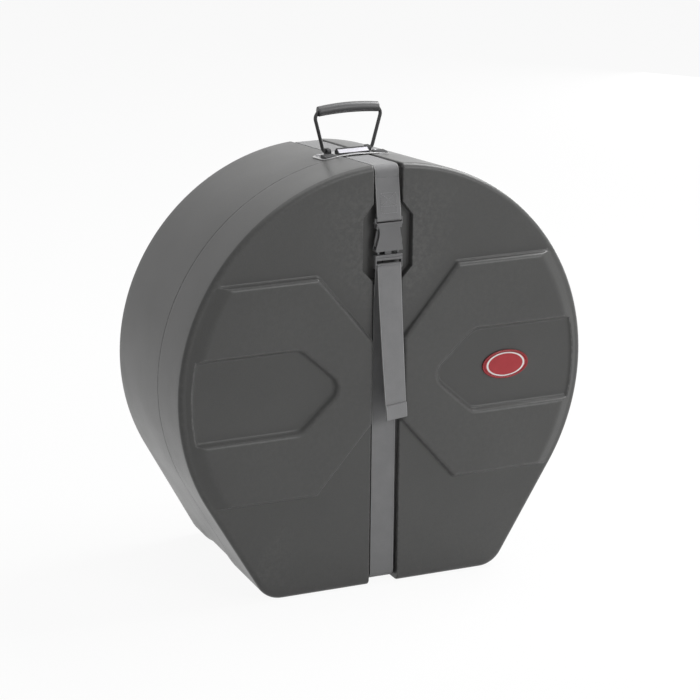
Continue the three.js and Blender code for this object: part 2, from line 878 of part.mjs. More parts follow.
// Upper strap end: a sewn loop round the socket's bar
function strapFlap() {
  const bar = [socketBarDepth, centreHeight + socketBarHeight];
  const inner = socketBarRadius + touchGap;
  const outer = inner + strapThickness;
  const pivot = [flapPivotDepth, centreHeight + flapPivotHeight];
  const seam = (sewnHeight - socketBarHeight) / (flapPivotHeight - socketBarHeight);
  const seamPoint = [lerp(bar[0], pivot[0], seam), lerp(bar[1], pivot[1], seam)];
  const sleeve = barAcross(outer, -strapWidth / 2, strapWidth / 2, bar[0], bar[1]);
  return webbing(bar, pivot, strapThickness)
    .add(webbing(bar, seamPoint, 2 * strapThickness))
    .add(sleeve)
    .subtract(barAcross(inner, -strapWidth, strapWidth, bar[0], bar[1]));
}

// Buckle socket: a flat sleeve with side windows, a mouth below and a strap bar above
function buckleSocket() {
  const height = (rise) => centreHeight + rise;
  const right = [
    [socketHalfWidth, height(socketBottom)],
    [socketWaistHalfWidth, height(socketWaistHeight)],
    [socketTopHalfWidth, height(socketTop)],
  ];
  const outline = [...right, ...mirrored(right)];
  const body = prism(outline, socketFront, outline, socketBack);
  const inside = socketHalfWidth - socketCheek;
  const windowTop = socketBottom + socketMouthLip + socketWindowHeight;
  const chamber = block(
    -inside, inside, socketFront + socketFace, socketBack - socketFace, height(socketBottom) - overrun,
    height(windowTop),
  );
  const windows = block(
    -overrun, overrun, socketFront + socketFace, socketBack - socketFace,
    height(socketBottom + socketMouthLip), height(windowTop),
  );
  const barOuter = strapWidth / 2 + slideGap + socketCheek;
  const cheek = (side) => sideBlock(
    side, barOuter - socketCheek, barOuter,
    socketBarDepth - socketBarRadius, socketBarDepth + socketBarRadius,
    height(socketTop) - socketFace, height(socketBarHeight) + socketBarRadius,
  );
  return body.subtract(chamber).subtract(windows)
    .add(cheek(-1)).add(cheek(1))
    .add(barAcross(socketBarRadius, -barOuter, barOuter, socketBarDepth, height(socketBarHeight)));
}

// Buckle plug: cross bar, two rails, the bar that the strap turns round, and a guide for the socket
function bucklePlug() {
  const height = (rise) => centreHeight + rise;
  const rail = (side) => sideBlock(
    side, plugHalfWidth - plugRail, plugHalfWidth,
    plugFront, plugBack, height(plugRailBottom), height(plugBarTop),
  );
  const cross = block(
    -plugHalfWidth, plugHalfWidth, plugFront, plugBack, height(plugBarBottom), height(plugBarTop),
  );
  const guide = block(
    -guideHalfWidth, guideHalfWidth, guideFront, guideBack, height(plugBarBottom), height(guideTop),
  );
  const barEnd = plugHalfWidth - plugRail / 2;
  return cross.add(rail(-1)).add(rail(1)).add(guide)
    .add(barAcross(adjustBarRadius, -barEnd, barEnd, adjustBarDepth, height(adjustBarHeight)));
}

// One release arm of the plug: a round root, a slim neck through the mouth and a barb in the window
function releaseArm(side) {
  const height = (rise) => centreHeight + rise;
  const root = armRootPlace;
  const front = guideFront - touchGap;
  const back = guideBack + touchGap;
  const outline = [
    [root - armRootRadius, height(armRootHeight)],
    [root + armRootRadius, height(armRootHeight)],
    [root + armRootRadius, height(armNeckHeight)],
    [armBarb, height(armBarbHeight)],
    [armBarb, height(armBarbHeight) + armThickness],
    [armTipPlace, height(armTip)],
    [armTipPlace - armThickness, height(armTip)],
    [root - armRootRadius, height(armNeckHeight)],
  ];
  const shape = new THREE.Shape(outline.map(([x, z]) => new THREE.Vector2(x, z)));
  const geometry = new THREE.ExtrudeGeometry(shape, { depth: back - front, bevelEnabled: false });
  geometry.rotateX(Math.PI / 2);
  geometry.translate(0, back, 0);
  const rootPin = new THREE.CylinderGeometry(armRootRadius, armRootRadius, back - front, roundSteps);
  rootPin.translate(root, (front + back) / 2, height(armRootHeight));
  const arm = toSolid(geometry).add(toSolid(rootPin));
  return side > 0 ? arm : arm.mirror([1, 0, 0]);
}

const tailDepth = adjustBarDepth - adjustBarRadius - touchGap - strapThickness / 2;

// Webbing turned round the plug's bar: a leg behind, over the bar, and down in front
function adjustLoop() {
  const bar = [adjustBarDepth, centreHeight + adjustBarHeight];
  const inner = adjustBarRadius + touchGap;
  const outer = inner + strapThickness;
  const tailTop = bar[1] + strapThickness / 2 + touchGap;
  const ring = barAcross(outer, -strapWidth / 2, strapWidth / 2, bar[0], bar[1])
    .subtract(barAcross(inner, -strapWidth, strapWidth, bar[0], bar[1]))
    .subtract(block(-strapWidth, strapWidth, -overrun, overrun, bar[1] - overrun, tailTop));
  const legTop = [bar[0] + inner + strapThickness / 2, tailTop];
  const leg = webbing(legTop, [backLegDepth, centreHeight + backLegEnd], strapThickness)
    .subtract(barAcross(inner, -strapWidth, strapWidth, bar[0], bar[1]));
  return ring.add(leg);
}

// Free strap end: it springs forwards, drifts to the right and twists a little
function strapTail() {
  const rings = [];
  for (let i = 0; i <= tailSteps; i += 1) {
    const share = i / tailSteps;
    const lean = Math.sin((share * Math.PI) / 2);
    const centre = new THREE.Vector3(
      tailDrift * share * share,
      tailDepth - tailReach * lean,
      centreHeight + adjustBarHeight - tailLength * share,
    );
    const across = new THREE.Vector3(Math.cos(tailTwist * share), Math.sin(tailTwist * share), 0);
    const out = new THREE.Vector3(across.y, -across.x, 0);
    const corner = (u, v) => centre.clone()
      .addScaledVector(across, (u * strapWidth) / 2)
      .addScaledVector(out, (v * strapThickness) / 2);
    rings.push([corner(-1, 1), corner(1, 1), corner(1, -1), corner(-1, -1)]);
  }
  const hinge = barAcross(
    strapThickness / 2, -strapWidth / 2, strapWidth / 2, tailDepth, centreHeight + adjustBarHeight,
  );
  return loft(rings).add(hinge);
}

function ellipse(halfLength, halfHeight) {
  return Array.from({ length: 2 * roundSteps }, (_, i) => {
    const angle = (Math.PI * i) / roundSteps;
    return [
      badgePlace + halfLength * Math.cos(angle),
      centreHeight + badgeHeight + halfHeight * Math.sin(angle),
    ];
  });
}

// Oval badge: a tray with a raised rim, and a domed insert
function badgePieces() {
  const oval = (inset) => ellipse(badgeHalfLength - inset, badgeHalfHeight - inset);
  const back = -touchGap;
  const front = back - badgeThickness;
  const floor = back - badgeTray;
  const edge = badgeRim / 2;
  const tray = prism(oval(edge / 2), front, oval(0), front + edge / 2)
    .add(prism(oval(0), front + edge / 2, oval(0), back))
    .subtract(prism(oval(badgeRim), front - overrun, oval(badgeRim), floor));
  const insert = loft([
    atDepth(oval(badgeRim + touchGap + edge), front - badgeDome / 2),
    atDepth(oval(badgeRim + touchGap), front),
    atDepth(oval(badgeRim + touchGap), floor - touchGap),
  ]);
  return { tray, insert };
}

// Foam slab across the case, behind or in front of a shell's face
function facePad(front) {
  const clear = wall + touchGap;
  return shellSolid({ front, rear: front + padThickness, inset: padInset })
    .subtract(grooveCut(grooveHalfWidth + clear, -clear));
}

// Foam in one lower corner, hollowed to the drum
function cradlePad(side) {
  const room = shellSolid({ front: cradleFrontDepth, rear: cradleRearDepth, inset: wall + slideGap });
  const low = archRise + wall + touchGap;
  const left = Math.min(side * cradleInner, side * frontRadius);
  const right = Math.max(side * cradleInner, side * frontRadius);
  const { centre } = sectionAt((cradleFrontDepth + cradleRearDepth) / 2);
  const drum = new THREE.CylinderGeometry(drumRadius, drumRadius, rearFace + overrun, 2 * arcSteps);
  drum.translate(0, rearFace / 2, centre);
  return room.intersect(block(left, right, 0, rearFace, low, cradleHeight)).subtract(toSolid(drum));
}

const stretches = strapStretches();
const label = labelPieces();
const badge = badgePieces();

addPiece('body_shell', bodyShell(), shellFinish);
addPiece('lid_shell', lidShell(), shellFinish);
addPiece('strap_body', stretches.body, webbingFinish);
addPiece('strap_lid_top', stretches.lidTop, webbingFinish);
addPiece('strap_lid_lower', stretches.lidLower, webbingFinish);
addPiece('strap_flap', strapFlap(), webbingFinish);
addPiece('strap_adjust_loop', adjustLoop(), webbingFinish);
addPiece('strap_tail', strapTail(), webbingFinish);
addPiece('buckle_socket', buckleSocket(), buckleFinish);
addPiece('buckle_plug', bucklePlug(), buckleFinish);
addPiece('release_arm_left', releaseArm(-1), buckleFinish);
addPiece('release_arm_right', releaseArm(1), buckleFinish);
addPiece('badge_tray', badge.tray, badgeRimFinish);
addPiece('badge_insert', badge.insert, badgeFinish);
addPiece('handle_plate', handlePlate(), steelFinish);
addPiece('handle_ear_left', handleEar(-1), handleFinish);
addPiece('handle_ear_right', handleEar(1), handleFinish);
addPiece('handle_rest_left', handleRest(-1), handleFinish);
addPiece('handle_rest_right', handleRest(1), handleFinish);
addPiece('handle_bail', tubeAlong(bailPoints(), wireRadius), wireFinish);
addPiece('handle_grip', handleGrip(), gripFinish);
addPiece('label_frame', label.frame, handleFinish);
addPiece('label_card', label.card, labelFinish);
rivetPlaces.forEach((place, i) => addPiece(`handle_rivet_${i + 1}`, rivet(place), steelFinish));
addPiece('handle_backing_left', backingPlate(-1), steelFinish);
addPiece('handle_backing_right', backingPlate(1), steelFinish);
addPiece('lid_pad', facePad(pocketDepth + wall + touchGap), foamFinish);
addPiece('back_pad', facePad(rearFace - grooveRearDepth - wall - touchGap - padThickness), foamFinish);
addPiece('cradle_pad_left', cradlePad(-1), foamFinish);
addPiece('cradle_pad_right', cradlePad(1), foamFinish);

// The origin is the middle of the base, under the centre of the whole case
const bounds = new THREE.Box3().setFromObject(assembly);
assembly.position.y = -(bounds.min.y + bounds.max.y) / 2;

export default assembly;
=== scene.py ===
"""Looks of a round moulded drum case with a buckled strap and a folding handle.

All lengths are in millimetres in the frame of the lid: X to the right, Y back from the plain front
face and Z up from the floor. place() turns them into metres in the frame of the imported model.
"""

import math

import bmesh
import bpy
import numpy as np
from mathutils import Matrix, Vector
from mathutils.geometry import delaunay_2d_cdt


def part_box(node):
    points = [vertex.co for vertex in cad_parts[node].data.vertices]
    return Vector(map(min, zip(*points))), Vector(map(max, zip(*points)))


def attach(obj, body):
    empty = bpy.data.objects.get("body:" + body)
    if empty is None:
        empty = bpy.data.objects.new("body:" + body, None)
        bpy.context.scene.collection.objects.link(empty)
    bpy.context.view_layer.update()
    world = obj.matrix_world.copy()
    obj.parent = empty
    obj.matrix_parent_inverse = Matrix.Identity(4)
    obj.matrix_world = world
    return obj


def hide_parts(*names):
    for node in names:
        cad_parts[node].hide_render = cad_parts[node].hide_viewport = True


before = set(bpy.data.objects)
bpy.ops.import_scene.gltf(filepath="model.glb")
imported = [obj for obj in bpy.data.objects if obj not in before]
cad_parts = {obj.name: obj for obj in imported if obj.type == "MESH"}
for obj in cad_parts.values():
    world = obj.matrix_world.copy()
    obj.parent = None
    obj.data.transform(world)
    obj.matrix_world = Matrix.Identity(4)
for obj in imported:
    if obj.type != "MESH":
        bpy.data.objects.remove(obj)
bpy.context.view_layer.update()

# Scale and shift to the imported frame
METRE = 0.001
PANEL_RISE = 12
DEPTH_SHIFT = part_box("lid_shell")[0].y / METRE + PANEL_RISE

# Fits
TOUCH_GAP = 0.3
SLIDE_GAP = 0.8

# Limits of the outline and mesh work
LEAST_CORNER = 3
LEAST_ROUND = 0.4
PARALLEL = 1e-7
TINY = 1e-9
SLACK = 1e-6
MIDDLE_SLACK = 0.01
MERGE_DISTANCE = 1e-4
WELD_METRES = 2e-6
LEAST_SPAN_METRES = 1e-5
NORMAL_WEIGHT = 60

# Shell: a tapered drum with a flat base
FRONT_RADIUS = 425
REAR_RADIUS = 399.5
CENTRE_HEIGHT = 419
REAR_CENTRE_DROP = 10.5
FRONT_HALF_WIDTH = 245
REAR_HALF_WIDTH = 230
CORNER_RADIUS = 55
RIM_RADIUS = 12
REAR_EDGE_RADIUS = 14
REAR_DEPTH = 387
REAR_FACE = REAR_DEPTH + REAR_EDGE_RADIUS
SEAM_DEPTH = 136
SEAM_HALF_GAP = TOUCH_GAP / 2
SEAM_ROUND = 1.3
SEAM_ANGLES = [30, 60, 90]
WALL = 4
TONGUE_LENGTH = 24
TONGUE_WALL = 4
TONGUE_LEAD = 6
TONGUE_RUN = 8
TONGUE_OUTER_EDGE = [(1.2, 0.1), (0.3, 0.5), (0, 1.3)]
TONGUE_INNER_EDGE = [(0, 1.3), (0.3, 0.5), (1.2, 0)]
SHOULDER = 10

# Raised panels and their recesses
PANEL_TIP = 34
PANEL_TIP_HEIGHT = 82
PANEL_CORNER = 147
PANEL_TOP = 218
PANEL_BOTTOM = 212
PANEL_SLOPE = 4
PANEL_CHAMFER = 36
CHAMFER_FILLET = 3
FACE_MARGIN = 40
PANEL_ROUNDING = 6
CREST_ROUND = 9
FOOT_ROUND = 5
RECESS_NOSE = 88
RECESS_SHOULDER = 182
RECESS_HEIGHT = 86
RECESS_ROUNDING = 32
RECESS_SLOPE = 7
RECESS_FLOOR_ROUND = 7
RIM_LIP = 19
REAR_PANEL_RISE = 8
REAR_PANEL_CHAMFER = 46
REAR_CREST_ROUND = 6

# Strap groove and the pocket round the buckle
GROOVE_HALF_WIDTH = 30
GROOVE_FRONT = 10.5
GROOVE_TOP = 5
GROOVE_REAR = 8
GROOVE_BASE = 10.5
GROOVE_FRONT_BEND = 12
GROOVE_REAR_BEND = 16
GROOVE_LIP = 3
GROOVE_FOOT = 1
RIB_EDGE = 34.9
POCKET_DEPTH = 14
POCKET_SLOPE = 1
POCKET_HALF_WIDTH = 52
POCKET_TOP = 351
POCKET_UPPER = 323
POCKET_LOWER = 222
POCKET_BOTTOM = 199
POCKET_ROUNDING = 6
POCKET_EDGE_ROUND = 2

# Arch under the body's base
ARCH_RISE = 7
ARCH_START = 158
ARCH_END = 336
ARCH_RAMP = 40
ARCH_FADE = 70

# Strap
STRAP_WIDTH = 50
STRAP_THICKNESS = 2
STRAP_LIFT = TOUCH_GAP + STRAP_THICKNESS / 2
SELVEDGE = 1.8
BAR_WRAP = TOUCH_GAP + STRAP_THICKNESS / 2
LAYER_GAP = STRAP_THICKNESS + 0.3
FLAP_PIVOT_DEPTH = GROOVE_FRONT - STRAP_LIFT
FLAP_PIVOT_Z = CENTRE_HEIGHT + 397
TOP_END = FLAP_PIVOT_Z + STRAP_LIFT
LOWER_STRAP_END = CENTRE_HEIGHT + 190
HEM_TOP_Z = 792
HEM_MIDDLE_Z = 763
HEM_LOW_Z = 750
HEM_CLOSES = 16
STITCH_HALF = 16
STITCH_MARGIN = 4
STITCH_PITCH = 4.2
STITCH_GAP_SHARE = 0.14
STITCH_SIDE = 3
STITCH_ROW_GAP = 3
STITCH_PATH = [(0, -0.3), (0.15, 0.15), (0.5, 0.28), (0.85, 0.15), (1, -0.3)]
STITCH_HEM_SHARE = 0.12
THREAD_RADIUS = 0.42
THREAD_SHARES = [0.7, 1, 1, 1, 0.7]

# Buckle
SOCKET_TOP_Z = CENTRE_HEIGHT + 314
SOCKET_LENGTH = 56
SOCKET_FRONT = -7.3
SOCKET_BACK = 8.6
SOCKET_FACE = 3
SOCKET_ROUND = 0.9
SOCKET_HEAD = 12
SOCKET_RIB = 2.6
SOCKET_RIB_RISE = 0.7
SOCKET_HALF = 29.5
SOCKET_CHEEK = 3.2
MOUTH_LIP = 4
SOCKET_WAIST = [
    (0, 27.4), (5, 26.2), (10, 22.4), (15, 21), (22, 21), (30, 22.6), (40, 25.4), (48, 27.4),
    (SOCKET_LENGTH, 28.4),
]
SOCKET_BAR_Z = CENTRE_HEIGHT + 320
SOCKET_BAR_DEPTH = -0.5
SOCKET_BAR_RADIUS = 2.6
BAR_HALF = STRAP_WIDTH / 2 + SLIDE_GAP + SOCKET_CHEEK
BAR_END_INSET = 0.5
BAR_ROUND = 0.6
BAR_INSET = 0.1
HEAD_INSET = 1
HEAD_CORNER = 1
RIB_SINK = 1
SMALL_CORNER = 0.8
SMALL_EDGE = 0.4
SMALL_INSET = 0.2
CHEEK_INSET = 0.4
POST_CORNER = 1.2
POST_EDGE = 0.8
PLUG_BAR_TOP = CENTRE_HEIGHT + 251
PLUG_BAR_LOW = CENTRE_HEIGHT + 240
PLUG_RAIL_LOW = CENTRE_HEIGHT + 224
PLUG_LINE = 0.5
PLUG_CORNER = 1.6
PLUG_EDGE = 1.2
PLUG_CORE_INSET = 1
PLUG_OVERLAP = 2
PLUG_HALF = 28.5
PLUG_RAIL = 3
PLUG_FRONT = -6
PLUG_BACK = 4.4
GUIDE_HALF = 7
GUIDE_CORNER = 2.5
GUIDE_EDGE = 0.6
GUIDE_FRONT = -1.6
GUIDE_BACK = 2.6
GUIDE_TOP = CENTRE_HEIGHT + 298
ADJUST_BAR_Z = CENTRE_HEIGHT + 229
ADJUST_BAR_DEPTH = -2.5
ADJUST_BAR_RADIUS = 2.8
BACK_LEG_DEPTH = 6.9
BACK_LEG_LENGTH = 63
ARM_EDGE = 0.9
ARM_OUTLINE = [
    (18.4, -6), (20.6, -6.8), (22.7, -6), (22.9, 0), (23.4, 5.4), (26.6, 10), (28.8, 14), (28.9, 19),
    (27.4, 26), (25.6, 34), (24.6, 40), (22.6, 42), (19.4, 41), (18.2, 37), (18.6, 26), (18.6, 12),
    (18.3, 3),
]

# Free strap end
TAIL_LENGTH = 301
TAIL_REACH = 19
TAIL_DRIFT = 11
TAIL_TWIST = math.radians(14)
TAIL_DEPTH = ADJUST_BAR_DEPTH - ADJUST_BAR_RADIUS - BAR_WRAP
TAIL_HEAD = STRAP_THICKNESS / 2
TAIL_STEPS = 30
HEM_START_SHARE = 0.9
HEM_FOLD_SHARE = 0.993
HEM_STEPS = 8

# Badge
BADGE_PLACE = 256.5
BADGE_Z = CENTRE_HEIGHT + 1.5
BADGE_HALF_LENGTH = 50
BADGE_HALF_HEIGHT = 29
BADGE_THICKNESS = 3.2
BADGE_RIM = 4.5
BADGE_SOFT = 1.4
BADGE_TRAY = 1.2
BADGE_DOME = 0.8
BADGE_SKIRT = 1
BADGE_FACE_EDGE = 0.4
BADGE_FACE_MARGIN = 1.4
SOFT_SHARE = 0.3
OVAL_STEPS = 96
DOME_STEPS = 8

# Handle
HANDLE_DEPTH = 187
PLATE_HALF = 72
PLATE_FRONT = 143
PLATE_REAR = 199
PLATE_THICKNESS = 1.5
PLATE_CORNER = 10
PLATE_SOFT = 0.35
PLATE_STEP = 6
PLATE_TURNS = [8, 22, 38, 55, 72, 90]
PIVOT_Z = CENTRE_HEIGHT + 412
EAR_INNER = 38.5
EAR_OUTER = 46.5
EAR_HALF = 10
EAR_TOP_Z = PIVOT_Z + 6
EAR_CORNER = 5
EAR_ROUND = 0.8
EAR_FOOT = 16
EAR_DEPTHS = (HANDLE_DEPTH - EAR_HALF, HANDLE_DEPTH + EAR_HALF)
FOOT_CORNER = 1
REST_INNER = 41
REST_OUTER = 66.5
REST_DEPTHS = (145, 168)
REST_TOP_Z = CENTRE_HEIGHT + 412.5
REST_CORNER = 2.5
WIRE_RADIUS = 3.5
FOOT_REACH = 40.5
LEG_FOOT = 51
LEG_SHOULDER = 70
SHOULDER_Z = PIVOT_Z + 70
WIRE_BEND = 7
GRIP_HALF = 62.5
GRIP_END_Z = PIVOT_Z + 80.5
GRIP_ARCH = 3.8
GRIP_RADIUS = 10.3
GRIP_WAIST_SHARE = 0.05
GRIP_LIP = 0.7
GRIP_LIP_SHARE = 0.93
GRIP_STEPS = 24
BEND_STEPS = 8
LABEL_HALF = 33
LABEL_TOE_DEPTH = 155.5
LABEL_TOE_Z = CENTRE_HEIGHT + 413.9
LABEL_RUN = 11
LABEL_RISE = 7.4
LABEL_BACK_RUN = 9.5
LABEL_BACK_RISE = 1.1
LABEL_BORDER = 1.5
LABEL_THICKNESS = 0.8
LABEL_POCKET = 1.4
LABEL_INSET = 0.2
LABEL_CREST_RUN = 1.8
LABEL_CREST_RISE = 0.6
LABEL_OVERHANG = 1.6
LABEL_SINK = 0.5
LABEL_CORNER = 0.5
LABEL_SOFT = 0.4
CARD_CORNER = 0.6
CARD_SOFT = 0.15
RIVET_ARC = 62
RIVET_ANGLE = RIVET_ARC / FRONT_RADIUS
RIVET_DEPTHS = [176, 192]
RIVET_RADIUS = 2.4
RIVET_HEAD_RADIUS = 5
RIVET_HEAD_RISE = 2
RIVET_SIDES = 28
RIVET_DOME = [(0.12, 1), (0.45, 0.96), (0.72, 0.8), (0.92, 0.5), (1, 0.2), (0.98, 0)]
BACKING_THICKNESS = 2

# Foam
PAD_THICKNESS = 12
PAD_ROUND = 3
LID_PAD_DEPTH = POCKET_DEPTH + WALL + TOUCH_GAP
BACK_PAD_DEPTH = REAR_FACE - GROOVE_REAR - WALL - TOUCH_GAP - PAD_THICKNESS
LID_PAD_INSET = 17
BACK_PAD_INSET = 24
DRUM_RADIUS = REAR_RADIUS - 27.5
CRADLE_FRONT = 165
CRADLE_REAR = 355
CRADLE_INNER = 70
CRADLE_HEIGHT = CENTRE_HEIGHT - 229
CRADLE_LIFT = 11.6

# Colours in linear light
SHELL_DARK = (0.076, 0.076, 0.075)
SHELL_LIGHT = (0.098, 0.098, 0.096)
SHELL_RUBBED = (0.20, 0.20, 0.198)
WEBBING_DARK = (0.155, 0.155, 0.158)
WEBBING_LIGHT = (0.265, 0.265, 0.270)
WEBBING_WORN = (0.28, 0.28, 0.282)
WEBBING_EDGE = (0.36, 0.36, 0.362)
THREAD_DARK = (0.24, 0.24, 0.245)
THREAD_LIGHT = (0.40, 0.40, 0.405)
BUCKLE_DARK = (0.135, 0.135, 0.138)
BUCKLE_LIGHT = (0.165, 0.165, 0.168)
BLACK_DARK = (0.008, 0.008, 0.009)
BLACK_LIGHT = (0.014, 0.014, 0.015)
WIRE_DARK = (0.030, 0.030, 0.031)
WIRE_LIGHT = (0.045, 0.045, 0.046)
RUBBER_DARK = (0.060, 0.060, 0.062)
RUBBER_LIGHT = (0.085, 0.085, 0.087)
RIM_DARK = (0.27, 0.012, 0.018)
RIM_LIGHT = (0.33, 0.016, 0.022)
ENAMEL_DARK = (0.36, 0.012, 0.02)
ENAMEL_LIGHT = (0.44, 0.02, 0.03)
ENAMEL_LINE = (0.8, 0.78, 0.77)
STEEL_DARK = (0.40, 0.40, 0.40)
STEEL_LIGHT = (0.54, 0.54, 0.54)
RIVET_DARK = (0.30, 0.30, 0.31)
RIVET_LIGHT = (0.42, 0.42, 0.43)
FOAM_DARK = (0.018, 0.018, 0.02)
FOAM_LIGHT = (0.048, 0.048, 0.05)
CARD_DARK = (0.60, 0.59, 0.66)
CARD_LIGHT = (0.80, 0.79, 0.85)

# Noise patterns: scale, detail and roughness
SHELL_FINE = (620, 2.0, 0.6)
SHELL_PEBBLE = (260, 3.0, 0.55)
SHELL_MOTTLE = (7, 4.0, 0.6)
SHELL_SCUFF = (95, 5.0, 0.7)
YARN_NOISE = (900, 2.0, 0.6)
FADE_NOISE = (26, 3.0, 0.6)
TWIST_NOISE = (1500, 2.0, 0.5)
PLASTIC_FINE = (420, 3.0, 0.6)
PLASTIC_BROAD = (22, 3.0, 0.55)
RUBBER_FINE = (600, 3.0, 0.6)
ENAMEL_CLOUD = (60, 3.0, 0.5)
BRUSHING = (900, 3.0, 0.6)
STAINS = (40, 4.0, 0.6)
FOAM_MOTTLE = (14, 4.0, 0.6)
FOAM_CELLS = 480
CARD_CLOUD = (55, 3.0, 0.55)

# Bumps: depth in millimetres and strength
SHELL_BUMP = (0.28, 0.55)
WEAVE_BUMP = (0.3, 0.6)
TWIST_BUMP = (0.1, 0.5)
PLASTIC_BUMP = (0.06, 0.35)
RUBBER_BUMP = (0.12, 0.5)
ENAMEL_BUMP = (0.1, 0.15)
BRUSH_BUMP = (0.04, 0.4)
FOAM_BUMP = (0.6, 0.7)
CARD_BUMP = (0.4, 0.3)

# Weave, and shares and bands of the mixes
YARN_PITCH = 1.7
ROW_PITCH = 2.3
SELVEDGE_BAND = (2.4, 1.5)
SELVEDGE_SEAM = (3.6, 2.8)
WAVE_SHARE = 0.25
WEAVE_SHARE = 0.45
SEAM_SHARE = 0.4
EDGE_SHARE = 0.55
FADE_BAND = (0.35, 0.65, 0.0, 0.25)
MIDDLE_BAND = (0.3, 0.7)
SCUFF_BAND = (0.42, 0.68)
SPECK_SHARE = 0.4
RUB_SHARE = 0.55
GRAIN_SHARE = 0.5
SHELL_GLOSS = (0.28, 0.36)
ENAMEL_GLOSS = (0.16, 0.24)
PLASTIC_GLOSS = (-0.05, 0.05)
BRUSHED_GLOSS = (-0.08, 0.1)
BRUSH_STRETCH = (0.05, 1.0, 1.0)
EDGE_SCALE = 0.004
WHITE_LINE_SHARES = (0.74, 0.82)
LINE_BLUR_SHARE = 0.02

# Mesh density: places of lines across the groove, along the depth and inwards from the outline
NEAR_COLUMNS = [0, 8, 16, 23, 27, 29, 29.6, 29.95, 30.05, 30.2, 30.6, 31.2, 32, 33, 34.8, 35, 40]
GROOVE_EDGE_COLUMNS = NEAR_COLUMNS[4:-1]
LID_STATIONS = [30, 60, 90, 115, 128]
LID_INNER_STATIONS = [60, 24, 16]
BODY_REAR_STATIONS = [366, 346]
BODY_FRONT_STATIONS = [150, 142]
BODY_INNER_STATIONS = [360, 385, 389]
ARCH_PITCH = 8
ARCH_INNER_PITCH = 10
INNER_STEP = 1
INNER_SLACK = 0.01
FRONT_CHAMFER_INSETS = [18, 24, 28, 31, 33.5, 36, 38.5, 41, 44]
REAR_CHAMFER_INSETS = [20, 28, 36, 41, 43.5, 46, 48.5, 51, 55]
CHAMFER_OVERRUN = 12
LIP_OVERRUN = 8
EDGE_CLEARANCE = 0.5
STEP_PITCH = 9
POCKET_PITCH = 12
ARC_STEPS = 84
FLANK_STEPS = 8
CORNER_STEPS = 12
BASE_STEPS = 7
ROUND_STEPS = 6


def place(x, y, z):
    return Vector((x * METRE, (y + DEPTH_SHIFT) * METRE, z * METRE))


def lerp(a, b, share):
    return a + (b - a) * share


def mirrored(points):
    return [(-x, z) for x, z in reversed(points)]


def arc(centre, radius, start, end, steps):
    angles = [lerp(start, end, k / steps) for k in range(steps + 1)]
    return [(centre[0] + radius * math.cos(a), centre[1] + radius * math.sin(a)) for a in angles]


# Shell outline


def section_at(depth):
    share = (depth - RIM_RADIUS) / (REAR_DEPTH - RIM_RADIUS)
    radius = lerp(FRONT_RADIUS, REAR_RADIUS, share)
    centre = CENTRE_HEIGHT - REAR_CENTRE_DROP * share
    return radius, centre, lerp(FRONT_HALF_WIDTH, REAR_HALF_WIDTH, share)


def top_at(depth):
    radius, centre, _ = section_at(depth)
    return radius + centre


def flank_angle(depth):
    radius, centre, half_width = section_at(depth)
    return math.atan2(-centre, half_width) + math.acos(radius / math.hypot(centre, half_width))


def base_corner(depth, inset):
    """Rounded lower corner of the outline, from the base to the flank."""
    radius, centre, _ = section_at(depth)
    flank = flank_angle(depth)
    corner = max(CORNER_RADIUS - inset, LEAST_CORNER)
    corner_z = inset + corner
    reach = radius - inset - corner
    corner_x = (reach - (corner_z - centre) * math.sin(flank)) / math.cos(flank)
    return arc((corner_x, corner_z), corner, -math.pi / 2, flank, CORNER_STEPS)


def half_ring(depth, inset):
    """Right half of the shell's outline, from the middle of the base to the middle of the top."""
    radius, centre, _ = section_at(depth)
    flank = flank_angle(depth)
    reach = radius - inset
    corner = base_corner(depth, inset)
    points = [(x, inset) for x in NEAR_COLUMNS]
    last = NEAR_COLUMNS[-1]
    corner_x = corner[0][0]
    points += [(lerp(last, corner_x, k / BASE_STEPS), inset) for k in range(1, BASE_STEPS)]
    points += corner
    low = points[-1]
    high = (reach * math.cos(flank), centre + reach * math.sin(flank))
    for k in range(1, FLANK_STEPS):
        share = k / FLANK_STEPS
        points.append((lerp(low[0], high[0], share), lerp(low[1], high[1], share)))
    points += arc((0, centre), reach, flank, math.acos(last / reach), ARC_STEPS)[:-1]
    points += [(x, centre + math.sqrt(reach * reach - x * x)) for x in reversed(NEAR_COLUMNS)]
    return points


def inset_of(x, z, depth):
    """Distance of face points inwards from the shell's outline."""
    radius, centre, _ = section_at(depth)
    flank = flank_angle(depth)
    along_flank = radius - (x * math.cos(flank) + (z - centre) * math.sin(flank))
    on_arc = radius - np.hypot(x, z - centre)
    return np.where(np.arctan2(z - centre, x) >= flank, on_arc, along_flank)


# Strap's way round the case


def offset_outline(points, distance):
    lines = []
    count = len(points)
    for i, (y, z) in enumerate(points):
        next_y, next_z = points[(i + 1) % count]
        length = math.hypot(next_y - y, next_z - z)
        normal = ((next_z - z) / length, (y - next_y) / length)
        lines.append((normal, normal[0] * y + normal[1] * z + distance))
    corners = []
    for i, (normal, reach) in enumerate(lines):
        before, before_reach = lines[i - 1]
        cross = before[0] * normal[1] - before[1] * normal[0]
        if abs(cross) < PARALLEL:
            y, z = points[i]
            corners.append((y + normal[0] * distance, z + normal[1] * distance))
            continue
        corners.append((
            (before_reach * normal[1] - reach * before[1]) / cross,
            (reach * before[0] - before_reach * normal[0]) / cross,
        ))
    return corners


def edge_angle(points, i):
    y, z = points[i % len(points)]
    next_y, next_z = points[(i + 1) % len(points)]
    return math.atan2(y - next_y, next_z - z)


